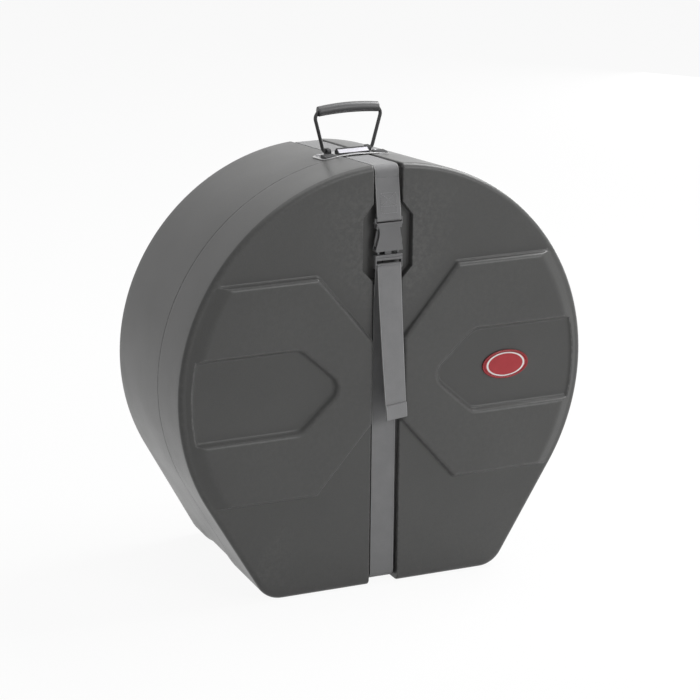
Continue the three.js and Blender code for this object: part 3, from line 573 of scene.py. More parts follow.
def rounded_outline(corners, distance, radii, steps=10):
    """Convex outline moved outwards, each corner rounded."""
    sharp = offset_outline(corners, distance)
    outline = []
    for i in range(len(sharp)):
        radius = max(radii[i % len(radii)] + distance, LEAST_ROUND)
        centre = offset_outline(sharp, -radius)[i]
        start = edge_angle(sharp, i - 1)
        turn = (edge_angle(sharp, i) - start) % (2 * math.pi)
        for k in range(steps + 1):
            angle = start + turn * k / steps
            outline.append((centre[0] + radius * math.cos(angle), centre[1] + radius * math.sin(angle)))
    return outline


def loop_outline(lift):
    """The groove floor's outline in the Y-Z plane, lifted outwards."""
    rear = REAR_FACE - GROOVE_REAR
    corners = [
        (GROOVE_FRONT, GROOVE_BASE),
        (rear, GROOVE_BASE),
        (rear, top_at(rear) - GROOVE_TOP),
        (GROOVE_FRONT, top_at(GROOVE_FRONT) - GROOVE_TOP),
    ]
    radii = [GROOVE_FRONT_BEND, GROOVE_REAR_BEND, GROOVE_REAR_BEND, GROOVE_FRONT_BEND]
    return rounded_outline(corners, lift, radii, steps=16)


def meet_loop(outline, start, direction):
    """First point where a ray from start meets a closed outline."""
    best = None
    for i, (y, z) in enumerate(outline):
        next_y, next_z = outline[(i + 1) % len(outline)]
        edge = (next_y - y, next_z - z)
        cross = direction[0] * edge[1] - direction[1] * edge[0]
        if abs(cross) < TINY:
            continue
        rel = (y - start[0], z - start[1])
        along = (rel[0] * edge[1] - rel[1] * edge[0]) / cross
        share = (rel[0] * direction[1] - rel[1] * direction[0]) / cross
        meets = along >= -SLACK and -TINY <= share <= 1 + TINY
        if meets and (best is None or along < best):
            best = along
    if best is None:
        return start
    return start[0] + direction[0] * best, start[1] + direction[1] * best


def groove_depth(x, full):
    """Depth below the shell of the groove's section at a distance x from its middle."""
    if x >= GROOVE_HALF_WIDTH + GROOVE_LIP:
        return 0
    if x > GROOVE_HALF_WIDTH:
        run = GROOVE_HALF_WIDTH + GROOVE_LIP - x
        return min(GROOVE_LIP - math.sqrt(GROOVE_LIP ** 2 - run ** 2), full)
    if x > GROOVE_HALF_WIDTH - GROOVE_FOOT:
        run = x - (GROOVE_HALF_WIDTH - GROOVE_FOOT)
        return max(full - GROOVE_FOOT + math.sqrt(GROOVE_FOOT ** 2 - run ** 2), 0)
    return full


# Relief of the two faces


def polygon_distance(points, x, z):
    """Signed distance to a closed polygon, negative inside."""
    best = np.full(x.shape, np.inf)
    inside = np.zeros(x.shape, bool)
    count = len(points)
    for i in range(count):
        ax, az = points[i]
        bx, bz = points[(i + 1) % count]
        ex, ez = bx - ax, bz - az
        share = np.clip(((x - ax) * ex + (z - az) * ez) / (ex * ex + ez * ez), 0, 1)
        best = np.minimum(best, (x - ax - share * ex) ** 2 + (z - az - share * ez) ** 2)
        crosses = (az > z) != (bz > z)
        with np.errstate(divide="ignore", invalid="ignore"):
            reach = ax + ex * (z - az) / ez if ez else np.full(x.shape, np.inf)
        inside ^= crosses & (x < reach)
    distance = np.sqrt(best)
    return np.where(inside, -distance, distance)


def rounded_distance(points, rounding, x, z):
    return polygon_distance(offset_outline(points, -rounding), x, z) - rounding


def step_profile(rise, slope, crest, foot, steps=5):
    """A slope with a rounded crest and foot: distances outwards from the crest and heights."""
    angle = math.atan2(rise, slope)
    samples = []
    crest_run = crest * math.tan(angle / 2)
    for k in range(steps + 1):
        turn = angle * k / steps
        samples.append((crest * math.sin(turn) - crest_run, rise - crest * (1 - math.cos(turn))))
    foot_run = foot * math.tan(angle / 2)
    for k in range(steps + 1):
        turn = angle * (1 - k / steps)
        samples.append((slope + foot_run - foot * math.sin(turn), foot * (1 - math.cos(turn))))
    return np.array(samples)


def profile_height(profile, distance):
    return np.interp(distance, profile[:, 0], profile[:, 1])


def soft_chamfer(inset, start, end, rise, fillet):
    """Rise from a rim at start to a plateau at end, with the plateau's edge rounded."""
    straight = (inset - start) / (end - start) * rise
    h = np.clip(0.5 + 0.5 * (rise - straight) / fillet, 0, 1)
    return np.clip(lerp(rise, straight, h) - fillet * h * (1 - h), 0, rise)


FACE_REACH = FRONT_RADIUS + FACE_MARGIN
PANEL = [
    (PANEL_TIP, CENTRE_HEIGHT - PANEL_TIP_HEIGHT),
    (PANEL_CORNER, CENTRE_HEIGHT - PANEL_BOTTOM),
    (FACE_REACH, CENTRE_HEIGHT - PANEL_BOTTOM),
    (FACE_REACH, CENTRE_HEIGHT + PANEL_TOP),
    (PANEL_CORNER, CENTRE_HEIGHT + PANEL_TOP),
    (PANEL_TIP, CENTRE_HEIGHT + PANEL_TIP_HEIGHT),
]
RECESS = [
    (RECESS_NOSE, CENTRE_HEIGHT),
    (RECESS_SHOULDER, CENTRE_HEIGHT - RECESS_HEIGHT),
    (FACE_REACH, CENTRE_HEIGHT - RECESS_HEIGHT),
    (FACE_REACH, CENTRE_HEIGHT + RECESS_HEIGHT),
    (RECESS_SHOULDER, CENTRE_HEIGHT + RECESS_HEIGHT),
]
POCKET_RIGHT = [
    (GROOVE_HALF_WIDTH, CENTRE_HEIGHT + POCKET_BOTTOM),
    (POCKET_HALF_WIDTH, CENTRE_HEIGHT + POCKET_LOWER),
    (POCKET_HALF_WIDTH, CENTRE_HEIGHT + POCKET_UPPER),
    (GROOVE_HALF_WIDTH, CENTRE_HEIGHT + POCKET_TOP),
]
POCKET = POCKET_RIGHT + mirrored(POCKET_RIGHT)
PANEL_STEP = step_profile(PANEL_RISE, PANEL_SLOPE, CREST_ROUND, FOOT_ROUND)
RECESS_STEP = step_profile(PANEL_RISE, RECESS_SLOPE, RECESS_FLOOR_ROUND, CREST_ROUND)
REAR_STEP = step_profile(REAR_PANEL_RISE, PANEL_SLOPE, REAR_CREST_ROUND, FOOT_ROUND)
POCKET_STEP = step_profile(POCKET_DEPTH, POCKET_SLOPE, POCKET_EDGE_ROUND, POCKET_EDGE_ROUND, steps=4)


def front_relief(x, z):
    inset = inset_of(x, z, 0)
    panel = profile_height(PANEL_STEP, rounded_distance(PANEL, PANEL_ROUNDING, x, z))
    chamfer = soft_chamfer(inset, RIM_RADIUS, PANEL_CHAMFER, PANEL_RISE, CHAMFER_FILLET)
    recess_gap = np.maximum(rounded_distance(RECESS, RECESS_ROUNDING, x, z), RIM_LIP - inset)
    recess = PANEL_RISE - profile_height(RECESS_STEP, recess_gap + RECESS_SLOPE)
    return np.minimum(np.minimum(panel, chamfer), recess)


def rear_relief(x, z):
    inset = inset_of(x, z, REAR_FACE)
    panel = profile_height(REAR_STEP, rounded_distance(PANEL, PANEL_ROUNDING, x, z))
    chamfer = soft_chamfer(
        inset, REAR_EDGE_RADIUS, REAR_PANEL_CHAMFER, REAR_PANEL_RISE, CHAMFER_FILLET,
    )
    return np.minimum(panel, chamfer)


def pocket_cut(x, z):
    gap = rounded_distance(POCKET, POCKET_ROUNDING, x, z)
    return POCKET_DEPTH - profile_height(POCKET_STEP, -gap)


# Faces as height fields over a triangulation that follows their edges


def sampled(outline, pitch):
    """A closed outline with more points on its long edges."""
    points = []
    for i, (ax, az) in enumerate(outline):
        bx, bz = outline[(i + 1) % len(outline)]
        steps = max(1, round(math.hypot(bx - ax, bz - az) / pitch))
        points += [(lerp(ax, bx, k / steps), lerp(az, bz, k / steps)) for k in range(steps)]
    return points


def step_lines(outline, rounding, profile, sign=1, pitch=STEP_PITCH):
    """Lines beside an outline at each distance where its step bends."""
    lines = []
    for distance in profile[:, 0] * sign:
        line = rounded_outline(outline, distance, [rounding], steps=6)
        lines.append((sampled(line, pitch), True))
    return lines


def inset_lines(depth, insets, low, high):
    """Arcs at fixed distances from the shell's outline, between two heights."""
    lines = []
    for inset in insets:
        ring = half_ring(depth, inset)
        lines.append(([(x, z) for x, z in ring if low <= z <= high and x > PANEL_CORNER], False))
    return lines


def face_points(ring, lines, depth, least_inset):
    """Triangulates the right half of a face, its edge being ring, along the lines given."""
    coords = [Vector(point) for point in ring]
    count = len(coords)
    edges = [(i, (i + 1) % count) for i in range(count)]
    for column in GROOVE_EDGE_COLUMNS:
        i = NEAR_COLUMNS.index(column)
        edges.append((i, count - 1 - i))
    for line, closed in lines:
        first = len(coords)
        x = np.array([p[0] for p in line])
        z = np.array([p[1] for p in line])
        keep = (inset_of(x, z, depth) > least_inset) & (x > -MIDDLE_SLACK)
        coords += [Vector(p) for p in line]
        last = len(line) if closed else len(line) - 1
        for k in range(last):
            other = (k + 1) % len(line)
            if keep[k] and keep[other]:
                edges.append((first + k, first + other))
    used = sorted({i for edge in edges for i in edge})
    index = {old: new for new, old in enumerate(used)}
    kept_edges = [(index[a], index[b]) for a, b in edges]
    result = delaunay_2d_cdt([coords[i] for i in used], kept_edges, [], 0, MERGE_DISTANCE)
    points = np.array([tuple(p) for p in result[0]])
    return points, [list(face) for face in result[2]]


def grooved(x, z, out, path, start, way):
    """Depths of face points once the groove is cut into the face, from start inwards."""
    floor = np.array([meet_loop(path, (start, value), (way, 0))[0] for value in z])
    full = way * (floor - out)
    share = np.array([groove_depth(a, b) / b for a, b in zip(x, full)])
    return out + way * full * share


def front_vertices(points, path):
    x, z = points.T
    y = grooved(x, z, -front_relief(x, z), path, -PANEL_RISE, 1)
    cut = pocket_cut(x, z)
    return list(zip(x, np.where(cut > 0, np.maximum(y, cut), y), z))


def rear_vertices(points, path):
    x, z = points.T
    y = grooved(x, z, REAR_FACE + rear_relief(x, z), path, REAR_FACE + REAR_PANEL_RISE, -1)
    return list(zip(x, y, z))


# Flanks, mouths and inner sides as rows of the shell's outline


def arch_lift(depth, z):
    stations = [ARCH_START, ARCH_START + ARCH_RAMP, ARCH_END - ARCH_RAMP, ARCH_END]
    rise = np.interp(depth, stations, [0, ARCH_RISE, ARCH_RISE, 0])
    share = rise / ARCH_RISE
    eased = ARCH_RISE * share * share * (3 - 2 * share)
    fade = max(0, 1 - z / ARCH_FADE)
    return eased * fade * fade * (3 - 2 * fade)


def row_points(depth, inset, tilt, path, inner, arched, key=None):
    """One row: the outline at a depth and inset, lowered into the groove near the middle."""
    ring = half_ring(depth, inset)
    count = len(ring)
    own_depth = depth if key is None else max(depth, key)
    ends = {}
    for end, sign in (("low", 1), ("high", -1)):
        z = inset if end == "low" else top_at(own_depth) - inset
        ends[end] = meet_loop(path, (own_depth, z), (math.cos(tilt), sign * math.sin(tilt)))
    row = []
    for i, (x, z) in enumerate(ring):
        if arched:
            z += arch_lift(depth, z)
        near = i < len(NEAR_COLUMNS) or i >= count - len(NEAR_COLUMNS)
        if not near or x > RIB_EDGE:
            row.append((x, depth, z))
            continue
        end = ends["low"] if i < len(NEAR_COLUMNS) else ends["high"]
        if inner:
            row.append((x, end[0], end[1]))
            continue
        full = max(math.hypot(depth - end[0], z - end[1]), SLACK)
        share = groove_depth(x, full) / full
        row.append((x, lerp(depth, end[0], share), lerp(z, end[1], share)))
    return row


class HalfMesh:
    """Right half of a shell, mirrored and welded into a whole piece."""

    def __init__(self):
        self.vertices = []
        self.faces = []

    def add(self, vertices, faces):
        first = len(self.vertices)
        self.vertices += vertices
        self.faces += [[first + i for i in face] for face in faces]

    def add_rows(self, rows):
        count = len(rows[0])
        faces = []
        for r in range(len(rows) - 1):
            for a in range(r * count, (r + 1) * count - 1):
                faces.append((a, a + 1, a + count + 1, a + count))
        self.add([point for row in rows for point in row], faces)

    def closed_piece(self, rows, name):
        """Adds the rows, closes the inner end and makes the whole piece."""
        self.add_rows(rows)
        self.add(rows[-1], [range(len(rows[-1]))])
        right = [place(*v) for v in self.vertices]
        left = [place(-v[0], v[1], v[2]) for v in self.vertices]
        shift = len(right)
        faces = self.faces + [[shift + i for i in reversed(face)] for face in self.faces]
        return solid_piece(name, right + left, faces)


def solid_piece(name, vertices, faces, marks=None):
    mesh = bpy.data.meshes.new(name)
    mesh.from_pydata(vertices, [], faces)
    if marks and any(mark != (0, 0) for mark in marks):
        for i, key in enumerate(("along", "across")):
            attribute = mesh.attributes.new(key, "FLOAT", "POINT")
            attribute.data.foreach_set("value", [mark[i] for mark in marks])
    model = bmesh.new()
    model.from_mesh(mesh)
    bmesh.ops.remove_doubles(model, verts=model.verts, dist=WELD_METRES)
    bmesh.ops.dissolve_degenerate(model, edges=model.edges, dist=WELD_METRES)
    bmesh.ops.recalc_face_normals(model, faces=model.faces)
    for face in model.faces:
        face.smooth = True
    model.to_mesh(mesh)
    model.free()
    piece = bpy.data.objects.new(name, mesh)
    bpy.context.scene.collection.objects.link(piece)
    weighted = piece.modifiers.new("weighted_normals", "WEIGHTED_NORMAL")
    weighted.weight = NORMAL_WEIGHT
    return piece


def seam_rows(edge, way, path, arched):
    """Rows round a shell's outer edge at the seam."""
    rows = []
    for angle in SEAM_ANGLES:
        turn = math.radians(angle)
        depth = edge + way * SEAM_ROUND * (1 - math.sin(turn))
        inset = SEAM_ROUND * (1 - math.cos(turn))
        rows.append(row_points(depth, inset, math.pi / 2, path, False, arched))
    return rows


def rim_rows(front, radius, path, rear=False):
    """Rows round a face's edge, from the face to the flank."""
    rows = []
    for k in range(ROUND_STEPS + 1):
        angle = math.pi / 2 * k / ROUND_STEPS
        run = radius * (1 - math.cos(angle))
        inset = radius * (1 - math.sin(angle))
        depth = front - run if rear else front + run
        tilt = math.pi - angle if rear else angle
        rows.append(row_points(depth, inset, tilt, path, False, False))
    return rows


def lid_piece():
    path = loop_outline(0)
    inner_path = loop_outline(-WALL)
    half = HalfMesh()
    recess_step = RECESS_STEP - np.array([RECESS_SLOPE, 0])
    lip_insets = [RIM_LIP - distance for distance in recess_step[:, 0]]
    low = CENTRE_HEIGHT - PANEL_BOTTOM - CHAMFER_OVERRUN
    high = CENTRE_HEIGHT + PANEL_TOP + CHAMFER_OVERRUN
    lip_reach = RECESS_HEIGHT + LIP_OVERRUN
    lines = step_lines(PANEL, PANEL_ROUNDING, PANEL_STEP)
    lines += step_lines(RECESS, RECESS_ROUNDING, recess_step)
    lines += step_lines(POCKET, POCKET_ROUNDING, POCKET_STEP, sign=-1, pitch=POCKET_PITCH)
    lines += inset_lines(0, FRONT_CHAMFER_INSETS, low, high)
    lines += inset_lines(0, lip_insets, CENTRE_HEIGHT - lip_reach, CENTRE_HEIGHT + lip_reach)
    ring = half_ring(0, RIM_RADIUS)
    points, faces = face_points(ring, lines, 0, RIM_RADIUS + EDGE_CLEARANCE)
    half.add(front_vertices(points, path), faces)
    rows = rim_rows(0, RIM_RADIUS, path)
    end = SEAM_DEPTH - SEAM_HALF_GAP
    for depth in LID_STATIONS + [end - SEAM_ROUND]:
        rows.append(row_points(depth, 0, math.pi / 2, path, False, False))
    rows += seam_rows(end, -1, path, False)
    inner_rows = [(end, WALL), (end - INNER_STEP, WALL + INNER_SLACK)]
    inner_rows += [(depth, WALL) for depth in LID_INNER_STATIONS]
    for depth, inset in inner_rows:
        rows.append(row_points(depth, inset, math.pi / 2, inner_path, True, False))
    return half.closed_piece(rows, "lid_moulding")


def body_piece():
    path = loop_outline(0)
    inner_path = loop_outline(-WALL)
    half = HalfMesh()
    low = CENTRE_HEIGHT - PANEL_BOTTOM - CHAMFER_OVERRUN
    high = CENTRE_HEIGHT + PANEL_TOP + CHAMFER_OVERRUN
    lines = step_lines(PANEL, PANEL_ROUNDING, REAR_STEP)
    lines += inset_lines(REAR_FACE, REAR_CHAMFER_INSETS, low, high)
    ring = half_ring(REAR_FACE, REAR_EDGE_RADIUS)
    points, faces = face_points(ring, lines, REAR_FACE, REAR_EDGE_RADIUS + EDGE_CLEARANCE)
    half.add(rear_vertices(points, path), faces)
    rows = rim_rows(REAR_FACE, REAR_EDGE_RADIUS, path, rear=True)
    start = SEAM_DEPTH + SEAM_HALF_GAP
    arch = list(range(ARCH_END, ARCH_START - 1, -ARCH_PITCH))
    for depth in BODY_REAR_STATIONS + arch + BODY_FRONT_STATIONS + [start + SEAM_ROUND]:
        rows.append(row_points(depth, 0, math.pi / 2, path, False, True))
    rows += seam_rows(start, 1, path, True)
    outer = WALL + SLIDE_GAP
    inner = outer + TONGUE_WALL
    tip = SEAM_DEPTH - TONGUE_LENGTH
    mouth = [(start, outer), (start - INNER_STEP, outer), (tip + TONGUE_LEAD, outer)]
    mouth += [(tip + back, outer + reach) for back, reach in TONGUE_OUTER_EDGE]
    mouth += [(tip + back, inner - reach) for back, reach in TONGUE_INNER_EDGE]
    mouth += [(tip + TONGUE_RUN, inner), (SEAM_DEPTH + SHOULDER, inner)]
    mouth.append((SEAM_DEPTH + 2 * SHOULDER, WALL))
    for depth, inset in mouth:
        rows.append(row_points(depth, inset, math.pi / 2, inner_path, True, True, key=start))
    inner_arch = list(range(ARCH_START + ARCH_PITCH, ARCH_END + 1, ARCH_INNER_PITCH))
    for depth in inner_arch + BODY_INNER_STATIONS:
        rows.append(row_points(depth, WALL, math.pi / 2, inner_path, True, True))
    return half.closed_piece(rows, "body_moulding")


# Smaller pieces as lofts


class Builder:
    """Closed shells of one piece, with each vertex's way along and across the webbing."""

    def __init__(self):
        self.vertices = []
        self.faces = []
        self.marks = []

    def loft(self, rings, marks=None):
        """Skins rings of equal count and closes both ends."""
        first = len(self.vertices)
        count = len(rings[0])
        for r in range(len(rings) - 1):
            low, high = first + r * count, first + (r + 1) * count
            for i in range(count):
                j = (i + 1) % count
                self.faces.append((low + i, low + j, high + j, high + i))
        last = first + (len(rings) - 1) * count
        self.faces.append(tuple(reversed(range(first, first + count))))
        self.faces.append(tuple(range(last, last + count)))
        self.vertices += [tuple(point) for ring in rings for point in ring]
        self.marks += marks or [(0, 0)] * (count * len(rings))

    def piece(self, name):
        return solid_piece(name, [place(*v) for v in self.vertices], self.faces, marks=self.marks)


def rounded_prism(builder, outline, low, high, edge, to_point, steps=3):
    """An outline pulled from low to high, with both rims rounded."""
    turns = [math.pi / 2 * k / steps for k in range(steps + 1)]
    levels = [(turn, low + edge * (1 - math.cos(turn))) for turn in turns]
    levels += [(turn, high - edge * (1 - math.cos(turn))) for turn in reversed(turns)]
    rings = []
    for turn, level in levels:
        inset = offset_outline(outline, -edge * (1 - math.sin(turn)))
        rings.append([to_point(p, q, level) for p, q in inset])
    builder.loft(rings)


def facing(x, z, y):
    """A point of an outline seen from the front, at a depth."""
    return x, y, z


def rounded_block(builder, across, depth, height, corner, edge, to_point=facing):
    (left, right), (low, high) = across, height
    corners = [(left, low), (right, low), (right, high), (left, high)]
    outline = rounded_outline(corners, 0, [corner], steps=4)
    rounded_prism(builder, outline, *depth, edge, to_point)


def tube(builder, centres, radii, sides=20, side=Vector((0, 1, 0))):
    rings = []
    for i, (centre, radius) in enumerate(zip(centres, radii)):
        along = (centres[min(i + 1, len(centres) - 1)] - centres[max(i - 1, 0)]).normalized()
        up = side.cross(along)
        ring = []
        for k in range(sides):
            angle = 2 * math.pi * k / sides
            ring.append(centre + side * radius * math.cos(angle) + up * radius * math.sin(angle))
        rings.append(ring)
    builder.loft(rings)


def bar_across(builder, half, y, z, radius, rounding=BAR_ROUND):
    """Round bar from side to side."""
    stations = [(-half, radius - rounding), (rounding - half, radius)]
    stations += [(-x, r) for x, r in reversed(stations)]
    tube(builder, [Vector((x, y, z)) for x, _ in stations], [r for _, r in stations])


def catmull(a, b, c, d, t):
    return b + 0.5 * t * (c - a + t * (2 * a - 5 * b + 4 * c - d + t * (3 * (b - c) + d - a)))


def smooth_line(points, steps=4, closed=False):
    """Smooth curve through points of a plane."""
    count = len(points)
    curve = []
    for i in range(count if closed else count - 1):
        near = [i + k if closed else min(max(i + k, 0), count - 1) for k in (-1, 0, 1, 2)]
        values = list(zip(*(points[k % count] for k in near)))
        curve += [tuple(catmull(*value, s / steps) for value in values) for s in range(steps)]
    return curve if closed else curve + [points[-1]]


# Webbing


def webbing_ring():
    """Cross-section of the webbing: places across and through it."""
    half, thick = STRAP_WIDTH / 2, STRAP_THICKNESS / 2
    inner = half - SELVEDGE
    ring = []
    for side in (1, -1):
        for k in range(5):
            angle = math.pi * (k / 4 - 0.5)
            reach = half - thick + thick * math.cos(angle)
            ring.append((side * reach, side * thick * math.sin(angle)))
        ring += [(side * inner, side * thick), (0, side * thick), (-side * inner, side * thick)]
    return ring


def strip(builder, centres, acrosses=None):
    """Webbing along a line of centres."""
    section = webbing_ring()
    rings, marks = [], []
    travelled = 0
    for i, centre in enumerate(centres):
        before, after = centres[max(i - 1, 0)], centres[min(i + 1, len(centres) - 1)]
        travelled += (centre - before).length
        across = acrosses[i] if acrosses else Vector((1, 0, 0))
        out = across.cross((after - before).normalized())
        rings.append([centre + across * u + out * w for u, w in section])
        marks += [(travelled * METRE, u * METRE) for u, _ in section]
    builder.loft(rings, marks)


def upright(path):
    return [Vector((0, y, z)) for y, z in path]


def crossing(path, axis, level, number):
    """Place along a path where a coordinate passes a level for the numbered time, from 0."""
    places = []
    for i in range(len(path) - 1):
        a, b = path[i][axis] - level, path[i + 1][axis] - level
        if (a < 0) != (b < 0):
            places.append(i + a / (a - b))
    return places[number]


def part_of(path, start, end):
    def at(place_on):
        i = int(place_on)
        return tuple(lerp(a, b, place_on - i) for a, b in zip(path[i], path[i + 1]))
    return [at(start)] + path[int(start) + 1:math.ceil(end)] + [at(end)]


def strap_stretch(name, start, end):
    """Stretch of the strap round the case between two crossings of its path."""
    path = 2 * loop_outline(STRAP_LIFT)
    builder = Builder()
    strip(builder, upright(part_of(path, crossing(path, *start), crossing(path, *end))))
    return builder.piece(name)


def flap_line():
    """Centre line of the upper strap end: down to the socket's bar, round it and back up behind."""
    top = (FLAP_PIVOT_DEPTH, TOP_END - TOUCH_GAP)
    bar = (SOCKET_BAR_DEPTH, SOCKET_BAR_Z)
    lean = math.atan2(top[0] - bar[0] + BAR_WRAP, top[1] - bar[1])
    turn = arc(bar, SOCKET_BAR_RADIUS + BAR_WRAP, math.pi - lean, 2 * math.pi + lean, steps=22)
    slope = (top[0] - turn[0][0]) / (top[1] - turn[0][1])
    behind = [
        (turn[0][0] + slope * (z - turn[0][1]) + LAYER_GAP, z) for z in (bar[1] + HEM_CLOSES, HEM_TOP_Z)
    ]
    return [top] + turn + behind


def thread(builder, start, end, out):
    """One stitch: a short round thread that dips into the webbing at both ends."""
    span = end - start
    centres = [start + span * share + out * lift for share, lift in STITCH_PATH]
    side = out.cross(span).normalized()
    tube(builder, centres, [THREAD_RADIUS * share for share in THREAD_SHARES], sides=6, side=side)


def stitch_line(builder, start, end, out):
    length = (end - start).length
    count = max(1, round(length / STITCH_PITCH))
    for k in range(count):
        a = start.lerp(end, (k + STITCH_GAP_SHARE) / count)
        b = start.lerp(end, (k + 1 - STITCH_GAP_SHARE) / count)
        thread(builder, a, b, out)


def flap_pieces():
    line = flap_line()
    builder = Builder()
    strip(builder, upright(line))
    top, low = Vector((0, *line[0])), Vector((0, *line[1]))
    along = (low - top).normalized()
    out = Vector((0, along.z, -along.y))
    face = out * STRAP_THICKNESS / 2

    def on_face(x, z):
        return top + along * (top.z - z) / -along.z + face + Vector((x, 0, 0))

    threads = Builder()
    rows = [HEM_TOP_Z - STITCH_MARGIN, HEM_MIDDLE_Z, HEM_LOW_Z]
    for z in rows:
        stitch_line(threads, on_face(-STITCH_HALF, z), on_face(STITCH_HALF, z), out)
    for x in (-STITCH_HALF, STITCH_HALF):
        stitch_line(threads, on_face(x, rows[0]), on_face(x, rows[2]), out)
        stitch_line(threads, on_face(x, rows[0]), on_face(-x, rows[1]), out)
    return builder.piece("flap_webbing"), threads.piece("flap_stitches")


def adjust_piece():
    """Webbing behind the plug: up from the lower strap and over the plug's bar."""
    bar = (ADJUST_BAR_DEPTH, ADJUST_BAR_Z)
    wrap = ADJUST_BAR_RADIUS + BAR_WRAP
    foot = (BACK_LEG_DEPTH, ADJUST_BAR_Z - BACK_LEG_LENGTH)
    lean = math.atan2(foot[0] - bar[0] - wrap, bar[1] - foot[1])
    tail_top = STRAP_THICKNESS / 2 + TOUCH_GAP
    end = math.pi - math.asin(tail_top / wrap)
    builder = Builder()
    strip(builder, upright([foot] + arc(bar, wrap, lean, end, steps=14)))
    return builder.piece("adjust_webbing")


def tail_frame(share):
    """Middle of the free end and its direction across, at a share of its length."""
    centre = Vector((
        TAIL_DRIFT * share * share,
        TAIL_DEPTH - TAIL_REACH * math.sin(share * math.pi / 2),
        ADJUST_BAR_Z + TAIL_HEAD - (TAIL_LENGTH + TAIL_HEAD) * share,
    ))
    turn = TAIL_TWIST * share
    return centre, Vector((math.cos(turn), math.sin(turn), 0))


def tail_pieces():
    steps = [HEM_FOLD_SHARE * k / TAIL_STEPS for k in range(TAIL_STEPS + 1)]
    frames = [tail_frame(share) for share in steps]
    end, across = frames[-1]
    down = (end - frames[-2][0]).normalized()
    back = down.cross(across)
    fold = LAYER_GAP / 2
    for k in range(1, HEM_STEPS):
        turn = math.pi * k / HEM_STEPS
        frames.append((end + back * fold * (1 - math.cos(turn)) + down * fold * math.sin(turn), across))
    for share in (HEM_FOLD_SHARE, (HEM_FOLD_SHARE + HEM_START_SHARE) / 2, HEM_START_SHARE):
        centre, way = tail_frame(share)
        frames.append((centre + back * LAYER_GAP, way))
    builder = Builder()
    strip(builder, [f[0] for f in frames], [f[1] for f in frames])
    threads = Builder()
    centre, way = tail_frame(lerp(HEM_START_SHARE, HEM_FOLD_SHARE, STITCH_HEM_SHARE))
    out = -back
    for half_row in (0, 1):
        row = centre + down * half_row * STITCH_ROW_GAP + out * STRAP_THICKNESS / 2
        reach = STRAP_WIDTH / 2 - STITCH_SIDE
        stitch_line(threads, row - way * reach, row + way * reach, out)
    return builder.piece("tail_webbing"), threads.piece("tail_stitches")


# Buckle


def both_ways(side, near, far):
    """A stretch across the case, on its right or left side."""
    return sorted((side * near, side * far))


def socket_piece():
    right = [(width, SOCKET_TOP_Z - drop) for drop, width in SOCKET_WAIST]
    right = smooth_line(right[::-1], steps=3)
    outline = right + mirrored(right)
    builder = Builder()
    face = SOCKET_FACE
    rounded_prism(builder, outline, SOCKET_FRONT, SOCKET_FRONT + face, SOCKET_ROUND, facing)
    rounded_prism(builder, outline, SOCKET_BACK - face, SOCKET_BACK, SOCKET_ROUND, facing)
    top_half = SOCKET_WAIST[0][1]
    inner = (SOCKET_FRONT + face - SOCKET_ROUND, SOCKET_BACK - face + SOCKET_ROUND)
    head = top_half - HEAD_INSET
    head_height = (SOCKET_TOP_Z - SOCKET_HEAD, SOCKET_TOP_Z - SOCKET_ROUND)
    rounded_block(builder, (-head, head), inner, head_height, HEAD_CORNER, SMALL_EDGE)
    rib = top_half - SOCKET_RIB
    rib_depth = (SOCKET_FRONT - SOCKET_RIB_RISE, SOCKET_FRONT + RIB_SINK)
    rib_height = (SOCKET_TOP_Z - SOCKET_RIB, SOCKET_TOP_Z - SMALL_INSET)
    rounded_block(builder, (-rib, rib), rib_depth, rib_height, SMALL_CORNER, SMALL_EDGE)
    low = SOCKET_TOP_Z - SOCKET_LENGTH
    lip = (low + SMALL_INSET, low + MOUTH_LIP)
    reach = SOCKET_BAR_RADIUS
    post_depth = (SOCKET_BAR_DEPTH - reach, SOCKET_BAR_DEPTH + reach)
    post_height = (SOCKET_TOP_Z - SOCKET_RIB, SOCKET_BAR_Z + reach)
    for side in (-1, 1):
        cheek = both_ways(side, SOCKET_HALF - SOCKET_CHEEK, SOCKET_HALF - CHEEK_INSET)
        rounded_block(builder, cheek, inner, lip, SMALL_CORNER, SMALL_EDGE)
        post = both_ways(side, BAR_HALF - SOCKET_CHEEK, BAR_HALF)
        rounded_block(builder, post, post_depth, post_height, POST_CORNER, POST_EDGE)
    bar_across(builder, BAR_HALF - BAR_END_INSET, SOCKET_BAR_DEPTH, SOCKET_BAR_Z, reach - BAR_INSET)
    return builder.piece("socket_moulding")


